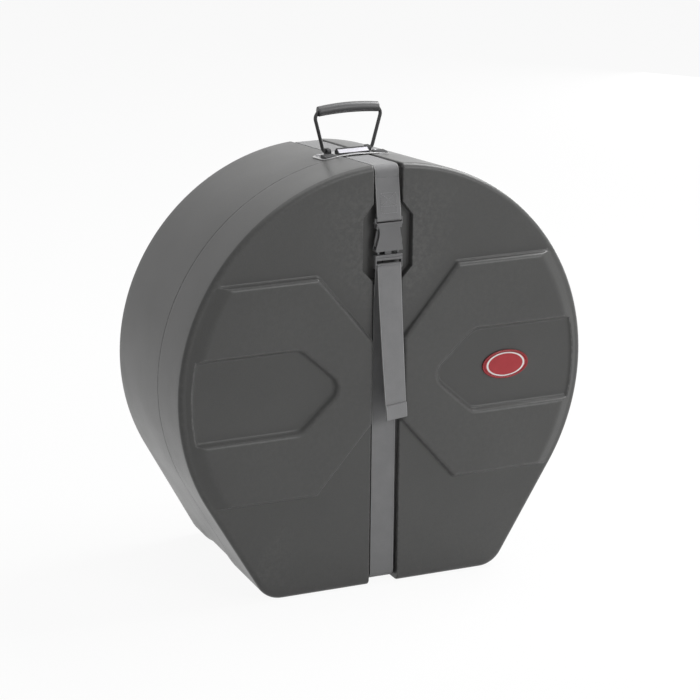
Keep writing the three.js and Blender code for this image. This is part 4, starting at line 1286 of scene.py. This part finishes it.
def plug_piece():
    builder = Builder()
    depth = (PLUG_FRONT, PLUG_BACK)
    middle = (PLUG_BAR_TOP + PLUG_BAR_LOW) / 2
    half = PLUG_HALF
    line = PLUG_LINE / 2
    rounded_block(builder, (-half, half), depth, (middle + line, PLUG_BAR_TOP), PLUG_CORNER, PLUG_EDGE)
    rounded_block(builder, (-half, half), depth, (PLUG_BAR_LOW, middle - line), PLUG_CORNER, PLUG_EDGE)
    core = half - PLUG_CORE_INSET
    core_depth = (PLUG_FRONT + PLUG_EDGE, PLUG_BACK - PLUG_EDGE)
    core_height = (PLUG_BAR_LOW + PLUG_CORE_INSET, PLUG_BAR_TOP - PLUG_CORE_INSET)
    rounded_block(builder, (-core, core), core_depth, core_height, SMALL_CORNER, SMALL_EDGE)
    rail_depth = (PLUG_FRONT + SMALL_INSET, PLUG_BACK - SMALL_INSET)
    rail_height = (PLUG_RAIL_LOW, PLUG_BAR_TOP - PLUG_OVERLAP)
    for side in (-1, 1):
        rail = both_ways(side, half - PLUG_RAIL, half - BAR_INSET)
        rounded_block(builder, rail, rail_depth, rail_height, POST_CORNER, POST_EDGE)
    guide = (-GUIDE_HALF, GUIDE_HALF)
    guide_height = (PLUG_BAR_LOW + PLUG_OVERLAP, GUIDE_TOP)
    rounded_block(builder, guide, (GUIDE_FRONT, GUIDE_BACK), guide_height, GUIDE_CORNER, GUIDE_EDGE)
    radius = ADJUST_BAR_RADIUS - BAR_INSET
    bar_across(builder, half - PLUG_RAIL / 2, ADJUST_BAR_DEPTH, ADJUST_BAR_Z, radius)
    return builder.piece("plug_moulding")


def arm_piece(name, side):
    """Springy side arm with a rounded thumb lobe."""
    low = SOCKET_TOP_Z - SOCKET_LENGTH
    outline = smooth_line([(x, low + rise) for x, rise in ARM_OUTLINE], 3, closed=True)
    builder = Builder()
    rounded_prism(
        builder, outline, GUIDE_FRONT - TOUCH_GAP, GUIDE_BACK + TOUCH_GAP, ARM_EDGE,
        lambda x, z, y: (side * x, y, z),
    )
    return builder.piece(name)


# Badge


def oval(inset, y):
    points = []
    for k in range(OVAL_STEPS):
        angle = 2 * math.pi * k / OVAL_STEPS
        x = BADGE_PLACE + (BADGE_HALF_LENGTH - inset) * math.cos(angle)
        points.append((x, y, BADGE_Z + (BADGE_HALF_HEIGHT - inset) * math.sin(angle)))
    return points


def tray_piece():
    back = -TOUCH_GAP
    front = back - BADGE_THICKNESS
    soft, rim = BADGE_SOFT, BADGE_RIM
    bend = SOFT_SHARE * soft
    profile = [
        (soft / 2, back), (0, back - soft / 2), (0, front + soft), (bend, front + bend), (soft, front),
        (rim - soft, front), (rim - bend, front + bend), (rim, front + soft), (rim, back - BADGE_TRAY),
    ]
    builder = Builder()
    builder.loft([oval(inset, y) for inset, y in profile])
    return builder.piece("badge_rim")


def insert_piece():
    floor = -TOUCH_GAP - BADGE_TRAY - TOUCH_GAP
    front = -TOUCH_GAP - BADGE_THICKNESS
    edge = BADGE_RIM + TOUCH_GAP
    reach = BADGE_HALF_HEIGHT - edge
    profile = [(edge, floor), (edge, front + BADGE_SKIRT)]
    for k in range(DOME_STEPS + 1):
        share = k / DOME_STEPS
        inset = edge + BADGE_FACE_EDGE + share * (reach - BADGE_FACE_MARGIN)
        profile.append((inset, front + BADGE_FACE_EDGE - BADGE_DOME * math.sin(share * math.pi / 2)))
    builder = Builder()
    builder.loft([oval(inset, y) for inset, y in profile])
    return builder.piece("badge_face")


# Handle


def on_shell(x, depth, lift):
    radius, centre, _ = section_at(depth)
    rise = math.sqrt(radius * radius - x * x)
    share = (radius + lift) / radius
    return x * share, depth, centre + rise * share


def seat_z(x, depth):
    """Height at which a block stands on the handle plate."""
    radius, centre, _ = section_at(depth)
    reach = radius + TOUCH_GAP + PLATE_THICKNESS + TOUCH_GAP
    return centre + math.sqrt(reach * reach - x * x)


def seated(y, z, x):
    """A point of a block's side outline, kept above the handle plate."""
    return x, y, max(z, seat_z(x, y))


def plate_piece():
    """Pressed plate that follows the shell, with rounded corners."""
    half, corner, soft = PLATE_HALF, PLATE_CORNER, PLATE_SOFT
    turns = [math.radians(angle) for angle in PLATE_TURNS]
    ends = [(half - corner + corner * math.cos(turn), corner * (1 - math.sin(turn))) for turn in turns]
    count = int(2 * (half - corner) / PLATE_STEP)
    middle = [half - corner - k * PLATE_STEP for k in range(1, count)]
    stations = ends + [(x, 0) for x in middle] + [(-x, cut) for x, cut in reversed(ends)]
    low, high = TOUCH_GAP, TOUCH_GAP + PLATE_THICKNESS
    rings = []
    for x, cut in stations:
        front, rear = PLATE_FRONT + cut, PLATE_REAR - cut
        section = [(front, low + soft), (front + soft, low), (rear - soft, low), (rear, low + soft)]
        section += [(rear, high - soft), (rear - soft, high)]
        section += [(front + soft, high), (front, high - soft)]
        rings.append([on_shell(x, depth, lift) for depth, lift in section])
    builder = Builder()
    builder.loft(rings)
    return builder.piece("plate_pressing")


def block_piece(name, side, across, depths, top, corner, steps):
    """Block that stands on the handle plate, with its upper corners rounded."""
    front, rear = depths
    foot = top - EAR_FOOT
    corners = [(front, foot), (rear, foot), (rear, top), (front, top)]
    outline = rounded_outline(corners, 0, [FOOT_CORNER, FOOT_CORNER, corner, corner], steps=steps)
    builder = Builder()
    rounded_prism(builder, outline, *both_ways(side, *across), EAR_ROUND, seated)
    return builder.piece(name)


def grip_line(steps=GRIP_STEPS):
    points = []
    for k in range(steps + 1):
        x = lerp(GRIP_HALF, -GRIP_HALF, k / steps)
        points.append(Vector((x, HANDLE_DEPTH, GRIP_END_Z + GRIP_ARCH * (1 - (x / GRIP_HALF) ** 2))))
    return points


def bail_line():
    """Feet turned inwards into the ears, splayed legs and the arch inside the grip."""
    corners = [(FOOT_REACH, PIVOT_Z), (LEG_FOOT, PIVOT_Z), (LEG_SHOULDER, SHOULDER_Z)]
    corners.append((GRIP_HALF, GRIP_END_Z))
    right = [Vector((x, HANDLE_DEPTH, z)) for x, z in corners]
    line = [right[0]]
    for i in (1, 2):
        before = (right[i - 1] - right[i]).normalized()
        after = (right[i + 1] - right[i]).normalized()
        start, end = right[i] + before * WIRE_BEND, right[i] + after * WIRE_BEND
        for k in range(BEND_STEPS + 1):
            share = k / BEND_STEPS
            line.append(start.lerp(right[i], share).lerp(right[i].lerp(end, share), share))
    line += grip_line()[:GRIP_STEPS // 2 + 1]
    return line + [Vector((-p.x, p.y, p.z)) for p in reversed(line[:-1])]


def bail_piece():
    line = bail_line()
    builder = Builder()
    tube(builder, line, [WIRE_RADIUS] * len(line))
    return builder.piece("bail_wire")


def grip_piece():
    """Rubber grip: slightly fuller in the middle, with squared ends and a small lip."""
    line = grip_line(32)
    shares = [abs(point.x) / GRIP_HALF for point in line]
    radii = [GRIP_RADIUS * (1 - GRIP_WAIST_SHARE * share * share) for share in shares]
    lip = Vector((GRIP_LIP, 0, 0))
    centres = [line[0] + lip] + line + [line[-1] - lip]
    builder = Builder()
    end_radius = radii[0] * GRIP_LIP_SHARE
    tube(builder, centres, [end_radius] + radii + [end_radius], sides=28)
    return builder.piece("grip_rubber")


def slope_point(x, run, rise):
    """A point measured along and above the label holder's slope."""
    length = math.hypot(LABEL_RUN, LABEL_RISE)
    along = (LABEL_RUN / length, LABEL_RISE / length)
    y = LABEL_TOE_DEPTH + run * along[0] - rise * along[1]
    return x, y, LABEL_TOE_Z + run * along[1] + rise * along[0]


def label_pieces():
    half, border = LABEL_HALF, LABEL_BORDER
    length = math.hypot(LABEL_RUN, LABEL_RISE)
    _, toe_y, toe_z = slope_point(0, 0, -LABEL_POCKET)
    _, crest_y, crest_z = slope_point(0, length, -LABEL_POCKET)
    front_y = toe_y + LABEL_INSET
    back_y = LABEL_TOE_DEPTH + LABEL_RUN + LABEL_BACK_RUN
    back_z = LABEL_TOE_Z + LABEL_BACK_RISE
    outline = [
        (front_y, toe_z - EAR_FOOT), (back_y, toe_z - EAR_FOOT), (back_y, back_z),
        (crest_y + LABEL_CREST_RUN, crest_z + LABEL_CREST_RISE), (crest_y, crest_z), (front_y, toe_z),
    ]
    builder = Builder()
    rounded_prism(builder, outline, LABEL_INSET - half, half - LABEL_INSET, LABEL_SOFT, seated)
    between = (border / 2, length - border / 2)
    sides = [
        ((-half, half), (0, border)), ((-half, half), (length - border, length + LABEL_OVERHANG)),
        ((-half, border - half), between), ((half - border, half), between),
    ]
    for across, run in sides:
        rise = (-LABEL_POCKET - LABEL_SINK, 0)
        rounded_block(builder, across, rise, run, LABEL_CORNER, LABEL_SOFT, slope_point)
    card = Builder()
    low = TOUCH_GAP - LABEL_POCKET
    reach = half - border - TOUCH_GAP
    run = (border + TOUCH_GAP, length - border - TOUCH_GAP)
    rounded_block(
        card, (-reach, reach), (low, low + LABEL_THICKNESS), run, CARD_CORNER, CARD_SOFT, slope_point,
    )
    return builder.piece("label_holder"), card.piece("label_sheet")


def surface_frame(depth, angle):
    radius, centre, _ = section_at(depth)
    slope = math.atan2(top_at(RIM_RADIUS) - top_at(REAR_DEPTH), REAR_DEPTH - RIM_RADIUS)
    turned = Matrix.Translation((0, depth, centre)) @ Matrix.Rotation(angle, 4, "Y")
    return turned @ Matrix.Translation((0, 0, radius)) @ Matrix.Rotation(-slope, 4, "X")


def rivet_piece(name, depth, angle):
    frame_there = surface_frame(depth, angle)
    top = TOUCH_GAP + PLATE_THICKNESS + TOUCH_GAP
    bottom = -WALL - TOUCH_GAP - BACKING_THICKNESS - TOUCH_GAP
    head, rise = RIVET_HEAD_RADIUS, RIVET_HEAD_RISE
    profile = [(share * head, top + level * rise) for share, level in RIVET_DOME]
    profile += [(RIVET_RADIUS, top), (RIVET_RADIUS, bottom)]
    profile += [(share * head, bottom - level * rise) for share, level in reversed(RIVET_DOME)]
    angles = [2 * math.pi * k / RIVET_SIDES for k in range(RIVET_SIDES)]
    rings = []
    for radius, level in profile:
        ring = [Vector((radius * math.cos(a), radius * math.sin(a), level)) for a in angles]
        rings.append([frame_there @ point for point in ring])
    builder = Builder()
    builder.loft(rings)
    return builder.piece(name)


# Foam


def pad_piece(name, depth, inset):
    """Foam sheet behind or in front of a face, with soft edges."""
    right = [point for point in half_ring(depth, inset) if point[0] > NEAR_COLUMNS[-2]]
    builder = Builder()
    outline = right + mirrored(right)
    low, high = depth + TOUCH_GAP, depth + PAD_THICKNESS - TOUCH_GAP
    rounded_prism(builder, outline, low, high, PAD_ROUND, facing)
    return builder.piece(name)


def cradle_outline(depth):
    """Foam corner between the shell's flank, its base and the drum."""
    radius, centre, _ = section_at(depth)
    flank = flank_angle(depth)
    reach = radius - CRADLE_LIFT
    top_x = (reach - (CRADLE_HEIGHT - centre) * math.sin(flank)) / math.cos(flank)
    points = [(CRADLE_INNER, CRADLE_LIFT)] + base_corner(depth, CRADLE_LIFT) + [(top_x, CRADLE_HEIGHT)]
    drum_z = section_at((CRADLE_FRONT + CRADLE_REAR) / 2)[1]
    start = math.asin((CRADLE_HEIGHT - drum_z) / DRUM_RADIUS)
    end = -math.acos(CRADLE_INNER / DRUM_RADIUS)
    return points + arc((0, drum_z), DRUM_RADIUS, start, end, CORNER_STEPS)


def cradle_piece(name, side):
    soft = PAD_ROUND
    bend = SOFT_SHARE * soft
    builder = Builder()
    stations = [(CRADLE_FRONT, soft), (CRADLE_FRONT + bend, bend), (CRADLE_FRONT + soft, 0)]
    stations += [(CRADLE_REAR - soft, 0), (CRADLE_REAR - bend, bend), (CRADLE_REAR, soft)]
    rings = []
    for depth, inset in stations:
        outline = offset_outline(cradle_outline(depth), -inset - TOUCH_GAP)
        rings.append([(side * x, depth, z) for x, z in outline])
    builder.loft(rings)
    return builder.piece(name)


# Materials


class Nodes:
    """Short ways to add nodes to the tree of a material or of the world."""

    def __init__(self, owner):
        owner.use_nodes = True
        self.owner = owner
        self.tree = owner.node_tree
        self.position = None

    def add(self, kind):
        return self.tree.nodes.new("ShaderNode" + kind)

    def join(self, value, socket):
        """Sets a socket to a number or colour, or links it to another node."""
        if isinstance(value, (int, float)):
            socket.default_value = value
        elif isinstance(value, tuple):
            socket.default_value = (*value, 1)
        else:
            self.tree.links.new(value, socket)

    def join_all(self, node, **values):
        for key, value in values.items():
            self.join(value, node.inputs[key.replace("_", " ")])

    def shade(self, **values):
        self.join_all(self.tree.nodes["Principled BSDF"], **values)

    def object_position(self):
        if self.position is None:
            self.position = self.add("TexCoord").outputs["Object"]
        return self.position

    def attribute(self, name):
        node = self.add("Attribute")
        node.attribute_name = name
        return node.outputs["Fac"]

    def noise(self, pattern, vector=None):
        node = self.add("TexNoise")
        scale, detail, roughness = pattern
        vector = vector or self.object_position()
        self.join_all(node, Scale=scale, Detail=detail, Roughness=roughness, Vector=vector)
        return node.outputs["Fac"]

    def math(self, operation, *values):
        node = self.add("Math")
        node.operation = operation
        for value, socket in zip(values, node.inputs):
            self.join(value, socket)
        return node.outputs[0]

    def plus(self, a, b):
        return self.math("ADD", a, b)

    def minus(self, a, b):
        return self.math("SUBTRACT", a, b)

    def times(self, a, b):
        return self.math("MULTIPLY", a, b)

    def over(self, a, b):
        return self.math("DIVIDE", a, b)

    def remap(self, value, low, high, to_low=0.0, to_high=1.0, interpolation="LINEAR"):
        node = self.add("MapRange")
        node.interpolation_type = interpolation
        self.join_all(node, Value=value, From_Min=low, From_Max=high, To_Min=to_low, To_Max=to_high)
        return node.outputs["Result"]

    def smooth_band(self, value, low, high):
        """Rises from 0 to 1 as a value goes from low to high."""
        return self.remap(value, low, high, interpolation="SMOOTHSTEP")

    def mix(self, share, a, b):
        node = self.add("Mix")
        node.data_type = "RGBA"
        for value, key in ((share, "Factor"), (a, 6), (b, 7)):
            self.join(value, node.inputs[key])
        return node.outputs[2]

    def bump(self, height, look):
        depth, strength = look
        node = self.add("Bump")
        self.join_all(node, Distance=depth * METRE, Strength=strength, Height=height)
        self.shade(Normal=node.outputs["Normal"])

    def seen_straight(self):
        """1 where the eye or a reflection meets the surface, else 0."""
        rays = self.add("LightPath")
        return self.math("MAXIMUM", rays.outputs["Is Camera Ray"], rays.outputs["Is Glossy Ray"])


def new_material(name):
    return Nodes(bpy.data.materials.new(name))


def shell_material():
    """Matte moulded plastic: fine pebbled grain, faint mottling and rubbed edges."""
    nodes = new_material("moulded_shell")
    grain = nodes.noise(SHELL_FINE)
    pebble = nodes.noise(SHELL_PEBBLE)
    mottle = nodes.noise(SHELL_MOTTLE)
    speck = nodes.remap(grain, *MIDDLE_BAND)
    tone = nodes.plus(nodes.times(mottle, 1 - SPECK_SHARE), nodes.times(speck, SPECK_SHARE))
    base = nodes.mix(tone, SHELL_DARK, SHELL_LIGHT)
    scuff = nodes.remap(nodes.noise(SHELL_SCUFF), *SCUFF_BAND)
    rub = nodes.times(nodes.times(nodes.attribute("edge"), scuff), RUB_SHARE)
    colour = nodes.mix(rub, base, SHELL_RUBBED)
    nodes.shade(Base_Color=colour, Roughness=nodes.remap(mottle, *MIDDLE_BAND, *SHELL_GLOSS), IOR=1.33)
    nodes.bump(nodes.plus(nodes.times(grain, GRAIN_SHARE), pebble), SHELL_BUMP)
    return nodes.owner


def webbing_material():
    """Woven polyester: staggered ribs, a bound light edge and uneven yarn."""
    nodes = new_material("woven_webbing")
    across = nodes.math("ABSOLUTE", nodes.attribute("across"))
    column = nodes.over(across, YARN_PITCH * METRE)
    row = nodes.over(nodes.attribute("along"), ROW_PITCH * METRE)
    stagger = nodes.times(nodes.math("FLOOR", column), 0.5)
    wave = nodes.math("SINE", nodes.times(nodes.plus(row, stagger), 2 * math.pi))
    rib = nodes.math("ABSOLUTE", nodes.math("SINE", nodes.times(column, math.pi)))
    weave = nodes.times(rib, nodes.math("MULTIPLY_ADD", wave, WAVE_SHARE, 1 - WAVE_SHARE))
    half = STRAP_WIDTH / 2 * METRE
    edge = nodes.smooth_band(across, *(half - inset * METRE for inset in SELVEDGE_BAND))
    seam = nodes.smooth_band(across, *(half - inset * METRE for inset in SELVEDGE_SEAM))
    seam = nodes.times(seam, nodes.minus(1.0, edge))
    yarn = nodes.times(nodes.noise(YARN_NOISE), 1 - WEAVE_SHARE)
    fade = nodes.remap(nodes.noise(FADE_NOISE), *FADE_BAND)
    shade = nodes.math("MULTIPLY_ADD", weave, WEAVE_SHARE, yarn)
    base = nodes.mix(shade, WEBBING_DARK, WEBBING_LIGHT)
    base = nodes.mix(fade, base, WEBBING_WORN)
    base = nodes.mix(nodes.times(seam, SEAM_SHARE), base, WEBBING_DARK)
    base = nodes.mix(nodes.times(edge, EDGE_SHARE), base, WEBBING_EDGE)
    nodes.shade(Base_Color=base, Roughness=0.85, IOR=1.4, Sheen_Weight=0.25, Sheen_Roughness=0.5)
    nodes.bump(weave, WEAVE_BUMP)
    return nodes.owner


def thread_material():
    nodes = new_material("stitching_thread")
    twist = nodes.noise(TWIST_NOISE)
    nodes.shade(Base_Color=nodes.mix(twist, THREAD_DARK, THREAD_LIGHT), Roughness=0.7)
    nodes.bump(twist, TWIST_BUMP)
    return nodes.owner


def plastic_material(name, dark, light, roughness, grain=PLASTIC_FINE, look=PLASTIC_BUMP):
    """Moulded plastic with a fine grain and slightly uneven gloss."""
    nodes = new_material(name)
    fine = nodes.noise(grain)
    broad = nodes.noise(PLASTIC_BROAD)
    gloss = nodes.remap(broad, *MIDDLE_BAND, *(roughness + change for change in PLASTIC_GLOSS))
    nodes.shade(Base_Color=nodes.mix(broad, dark, light), Roughness=gloss)
    nodes.bump(fine, look)
    return nodes.owner


def badge_face_material():
    """Gloss red dome with a thin white oval line."""
    nodes = new_material("badge_enamel")
    split = nodes.add("SeparateXYZ")
    nodes.join(nodes.object_position(), split.inputs[0])
    squares = []
    middles = (("X", BADGE_PLACE, BADGE_HALF_LENGTH), ("Z", BADGE_Z, BADGE_HALF_HEIGHT))
    for key, middle, half in middles:
        share = nodes.over(nodes.minus(split.outputs[key], middle * METRE), half * METRE)
        squares.append(nodes.math("POWER", share, 2.0))
    reach = nodes.math("SQRT", nodes.plus(*squares))
    rises = [nodes.smooth_band(reach, share, share + LINE_BLUR_SHARE) for share in WHITE_LINE_SHARES]
    cloud = nodes.noise(ENAMEL_CLOUD)
    red = nodes.mix(cloud, ENAMEL_DARK, ENAMEL_LIGHT)
    colour = nodes.mix(nodes.minus(*rises), red, ENAMEL_LINE)
    nodes.shade(Base_Color=colour, Roughness=nodes.remap(cloud, *MIDDLE_BAND, *ENAMEL_GLOSS))
    nodes.bump(cloud, ENAMEL_BUMP)
    return nodes.owner


def metal_material(name, dark, light, roughness):
    """Bright plated steel with fine brushing along the plate and small stains."""
    nodes = new_material(name)
    stretch = nodes.add("Mapping")
    stretch.inputs["Scale"].default_value = BRUSH_STRETCH
    nodes.join(nodes.object_position(), stretch.inputs["Vector"])
    brush = nodes.noise(BRUSHING, stretch.outputs["Vector"])
    stain = nodes.noise(STAINS)
    gloss = nodes.remap(brush, *MIDDLE_BAND, *(roughness + change for change in BRUSHED_GLOSS))
    nodes.shade(Base_Color=nodes.mix(stain, dark, light), Metallic=1.0, Roughness=gloss)
    nodes.bump(brush, BRUSH_BUMP)
    return nodes.owner


def foam_material():
    """Open-cell foam: fine pits and a soft mottled colour."""
    nodes = new_material("charcoal_foam")
    cells = nodes.add("TexVoronoi")
    nodes.join_all(cells, Scale=FOAM_CELLS, Vector=nodes.object_position())
    pits = cells.outputs["Distance"]
    tone = nodes.times(nodes.plus(pits, nodes.noise(FOAM_MOTTLE)), 0.5)
    nodes.shade(Base_Color=nodes.mix(tone, FOAM_DARK, FOAM_LIGHT), Roughness=0.95)
    nodes.bump(pits, FOAM_BUMP)
    return nodes.owner


def label_material():
    """Blank card behind a thin clear sleeve."""
    nodes = new_material("blank_label")
    cloud = nodes.noise(CARD_CLOUD)
    nodes.shade(Base_Color=nodes.mix(cloud, CARD_DARK, CARD_LIGHT), Roughness=0.35, Coat_Weight=0.4)
    nodes.bump(cloud, CARD_BUMP)
    return nodes.owner


def read_rows(items, key, width, kind=float):
    """Values of mesh items as a table of the given width."""
    values = np.empty(len(items) * width, kind)
    items.foreach_get(key, values)
    return values.reshape(-1, width)


def mark_edges(piece):
    """Stores how far each vertex stands proud of its neighbours, for the rubbed edges."""
    mesh = piece.data
    places = read_rows(mesh.vertices, "co", 3)
    normals = read_rows(mesh.vertices, "normal", 3)
    pairs = read_rows(mesh.edges, "vertices", 2, int)
    span = places[pairs[:, 1]] - places[pairs[:, 0]]
    length = np.maximum(np.linalg.norm(span, axis=1), LEAST_SPAN_METRES)
    total = np.zeros(len(places))
    for end, sign in ((0, 1), (1, -1)):
        bend = -(normals[pairs[:, end]] * span * sign).sum(1) / length ** 2
        np.maximum.at(total, pairs[:, end], bend)
    attribute = mesh.attributes.new("edge", "FLOAT", "POINT")
    attribute.data.foreach_set("value", np.clip(total * EDGE_SCALE, 0, 1).astype(np.float32))
    return piece


def dress(piece, material, body, slot, *nodes):
    piece.data.materials.append(material)
    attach(piece, body)
    if nodes:
        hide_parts(*nodes)
    return piece


SIDES = (("left", -1), ("right", 1))

shell = shell_material()
dress(mark_edges(lid_piece()), shell, "lid", "shell", "lid_shell")
dress(mark_edges(body_piece()), shell, "body", "shell", "body_shell")

webbing = webbing_material()
thread_look = thread_material()
front_seam, rear_seam = SEAM_DEPTH - SEAM_HALF_GAP, SEAM_DEPTH + SEAM_HALF_GAP
stretches = [
    ("body_webbing", (0, rear_seam, 0), (0, rear_seam, 1), "body", "strap_body"),
    ("lid_top_webbing", (0, front_seam, 1), (1, TOP_END, 1), "lid", "strap_lid_top"),
    ("lid_lower_webbing", (1, LOWER_STRAP_END, 1), (0, front_seam, 2), "lid", "strap_lid_lower"),
]
for name, start, end, body, node in stretches:
    dress(strap_stretch(name, start, end), webbing, body, "webbing", node)
flap_webbing, flap_stitches = flap_pieces()
dress(flap_webbing, webbing, "flap", "webbing", "strap_flap")
dress(flap_stitches, thread_look, "flap", "webbing")
dress(adjust_piece(), webbing, "plug", "webbing", "strap_adjust_loop")
tail_webbing, tail_stitches = tail_pieces()
dress(tail_webbing, webbing, "tail", "webbing", "strap_tail")
dress(tail_stitches, thread_look, "tail", "webbing")

buckle = plastic_material("buckle_plastic", BUCKLE_DARK, BUCKLE_LIGHT, 0.38)
dress(socket_piece(), buckle, "flap", "buckle", "buckle_socket")
dress(plug_piece(), buckle, "plug", "buckle", "buckle_plug")
for side_name, sign in SIDES:
    thumb = arm_piece(f"thumb_{side_name}", sign)
    dress(thumb, buckle, f"arm_{side_name}", "buckle", f"release_arm_{side_name}")

rim_red = plastic_material("badge_rim_red", RIM_DARK, RIM_LIGHT, 0.22)
dress(tray_piece(), rim_red, "lid", "badge_rim", "badge_tray")
dress(insert_piece(), badge_face_material(), "lid", "badge", "badge_insert")

gloss_black = plastic_material("handle_plastic", BLACK_DARK, BLACK_LIGHT, 0.55)
wire_black = plastic_material("coated_wire", WIRE_DARK, WIRE_LIGHT, 0.30)
rubber = plastic_material("grip_rubber", RUBBER_DARK, RUBBER_LIGHT, 0.40, RUBBER_FINE, RUBBER_BUMP)
steel = metal_material("plated_steel", STEEL_DARK, STEEL_LIGHT, 0.36)
rivet_steel = metal_material("rivet_steel", RIVET_DARK, RIVET_LIGHT, 0.38)
dress(plate_piece(), steel, "body", "steel", "handle_plate")
blocks = [
    ("ear", (EAR_INNER, EAR_OUTER), EAR_DEPTHS, EAR_TOP_Z, EAR_CORNER, 6),
    ("rest", (REST_INNER, REST_OUTER), REST_DEPTHS, REST_TOP_Z, REST_CORNER, 5),
]
for side_name, sign in SIDES:
    for kind, *sizes in blocks:
        name = f"{kind}_{side_name}"
        dress(block_piece(name, sign, *sizes), gloss_black, "body", "handle", f"handle_{name}")
    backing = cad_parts[f"handle_backing_{side_name}"]
    backing.data.materials.clear()
    backing.data.materials.append(steel)
dress(bail_piece(), wire_black, "handle", "wire", "handle_bail")
dress(grip_piece(), rubber, "handle", "grip", "handle_grip")
label_holder, label_sheet = label_pieces()
dress(label_holder, gloss_black, "body", "handle", "label_frame")
dress(label_sheet, label_material(), "body", "label", "label_card")
rivet_places = [(sign * RIVET_ANGLE, depth) for sign in (-1, 1) for depth in RIVET_DEPTHS]
for number, (angle, depth) in enumerate(rivet_places, 1):
    rivet = rivet_piece(f"rivet_{number}", depth, angle)
    dress(rivet, rivet_steel, "body", "steel", f"handle_rivet_{number}")

foam = foam_material()
pads = [
    (pad_piece("lid_foam", LID_PAD_DEPTH, LID_PAD_INSET), "lid", "lid_pad"),
    (pad_piece("back_foam", BACK_PAD_DEPTH, BACK_PAD_INSET), "body", "back_pad"),
]
for side_name, sign in SIDES:
    pads.append((cradle_piece(f"corner_foam_{side_name}", sign), "body", f"cradle_pad_{side_name}"))
for piece, body, node in pads:
    dress(piece, foam, body, "foam", node)


# Camera, floor and light, in metres and watts

CAMERA_PLACE = (-2.3668, -5.1369, 2.1810)
CAMERA_FORWARD = (0.40108, 0.86674, -0.29648)
CAMERA_YAW = math.radians(24.83)
CAMERA_ROLL = math.radians(0.6013)
CAMERA_LENS = 154.29
CAMERA_FAR = 50
FLOOR_HALF = 30
FLOOR_TONE = (0.86, 0.86, 0.86)
FLOOR_GLOW_SHARE = 0.93
WHITE = (1, 1, 1)
AMBIENT = 0.14
LAMP_TARGET = Vector((0, 0, 0.4))
LAMPS = [
    ("key_softbox", (2.2, 0.3, 3.0), 2.0, 135),
    ("top_softbox", (-0.4, 0.2, 3.6), 2.4, 30),
    ("front_softbox", (2.1, -4.0, 2.2), 2.2, 74),
    ("back_softbox", (3.4, 3.2, 0.8), 1.6, 40),
]


def linked(name, data):
    """New object for a camera or lamp."""
    thing = bpy.data.objects.new(name, data)
    bpy.context.scene.collection.objects.link(thing)
    return thing


def set_camera():
    data = bpy.data.cameras.new("camera")
    data.lens = CAMERA_LENS
    data.clip_end = CAMERA_FAR
    camera = linked("camera", data)
    forward = Vector(CAMERA_FORWARD).normalized()
    right = Vector((math.cos(CAMERA_YAW), -math.sin(CAMERA_YAW), 0))
    up = right.cross(forward)
    right_axis = right * math.cos(CAMERA_ROLL) + up * math.sin(CAMERA_ROLL)
    up_axis = up * math.cos(CAMERA_ROLL) - right * math.sin(CAMERA_ROLL)
    columns = Matrix(((*right_axis, 0), (*up_axis, 0), (*-forward, 0), (0, 0, 0, 1)))
    camera.matrix_world = columns.transposed()
    camera.location = CAMERA_PLACE
    bpy.context.scene.camera = camera


def area_light(name, location, size, power):
    data = bpy.data.lights.new(name, "AREA")
    data.shape = "SQUARE"
    data.size = size
    data.energy = power
    lamp = linked(name, data)
    lamp.location = location
    lamp.rotation_euler = (LAMP_TARGET - Vector(location)).to_track_quat("-Z", "Y").to_euler()


def floor_material():
    """Pale matte floor that looks white and keeps the object's shadow."""
    nodes = new_material("pale_floor")
    paint = nodes.add("BsdfDiffuse")
    nodes.join(FLOOR_TONE, paint.inputs["Color"])
    glow = nodes.add("Emission")
    nodes.join(WHITE, glow.inputs["Color"])
    mix = nodes.add("MixShader")
    shares = (nodes.times(nodes.seen_straight(), FLOOR_GLOW_SHARE), paint.outputs[0], glow.outputs[0])
    for value, socket in zip(shares, mix.inputs):
        nodes.join(value, socket)
    nodes.tree.nodes.remove(nodes.tree.nodes["Principled BSDF"])
    nodes.join(mix.outputs[0], nodes.tree.nodes["Material Output"].inputs["Surface"])
    return nodes.owner


def set_stage():
    half = FLOOR_HALF
    corners = [(-half, -half, 0), (half, -half, 0), (half, half, 0), (-half, half, 0)]
    floor = solid_piece("floor", corners, [(0, 1, 2, 3)])
    floor.data.materials.append(floor_material())
    world = bpy.data.worlds.new("studio")
    bpy.context.scene.world = world
    nodes = Nodes(world)
    sky = nodes.tree.nodes["Background"]
    strength = nodes.math("MULTIPLY_ADD", nodes.seen_straight(), 1 - AMBIENT, AMBIENT)
    nodes.join_all(sky, Color=WHITE, Strength=strength)
    for lamp in LAMPS:
        area_light(*lamp)


set_camera()
set_stage()
bpy.context.scene.view_settings.view_transform = "Standard"
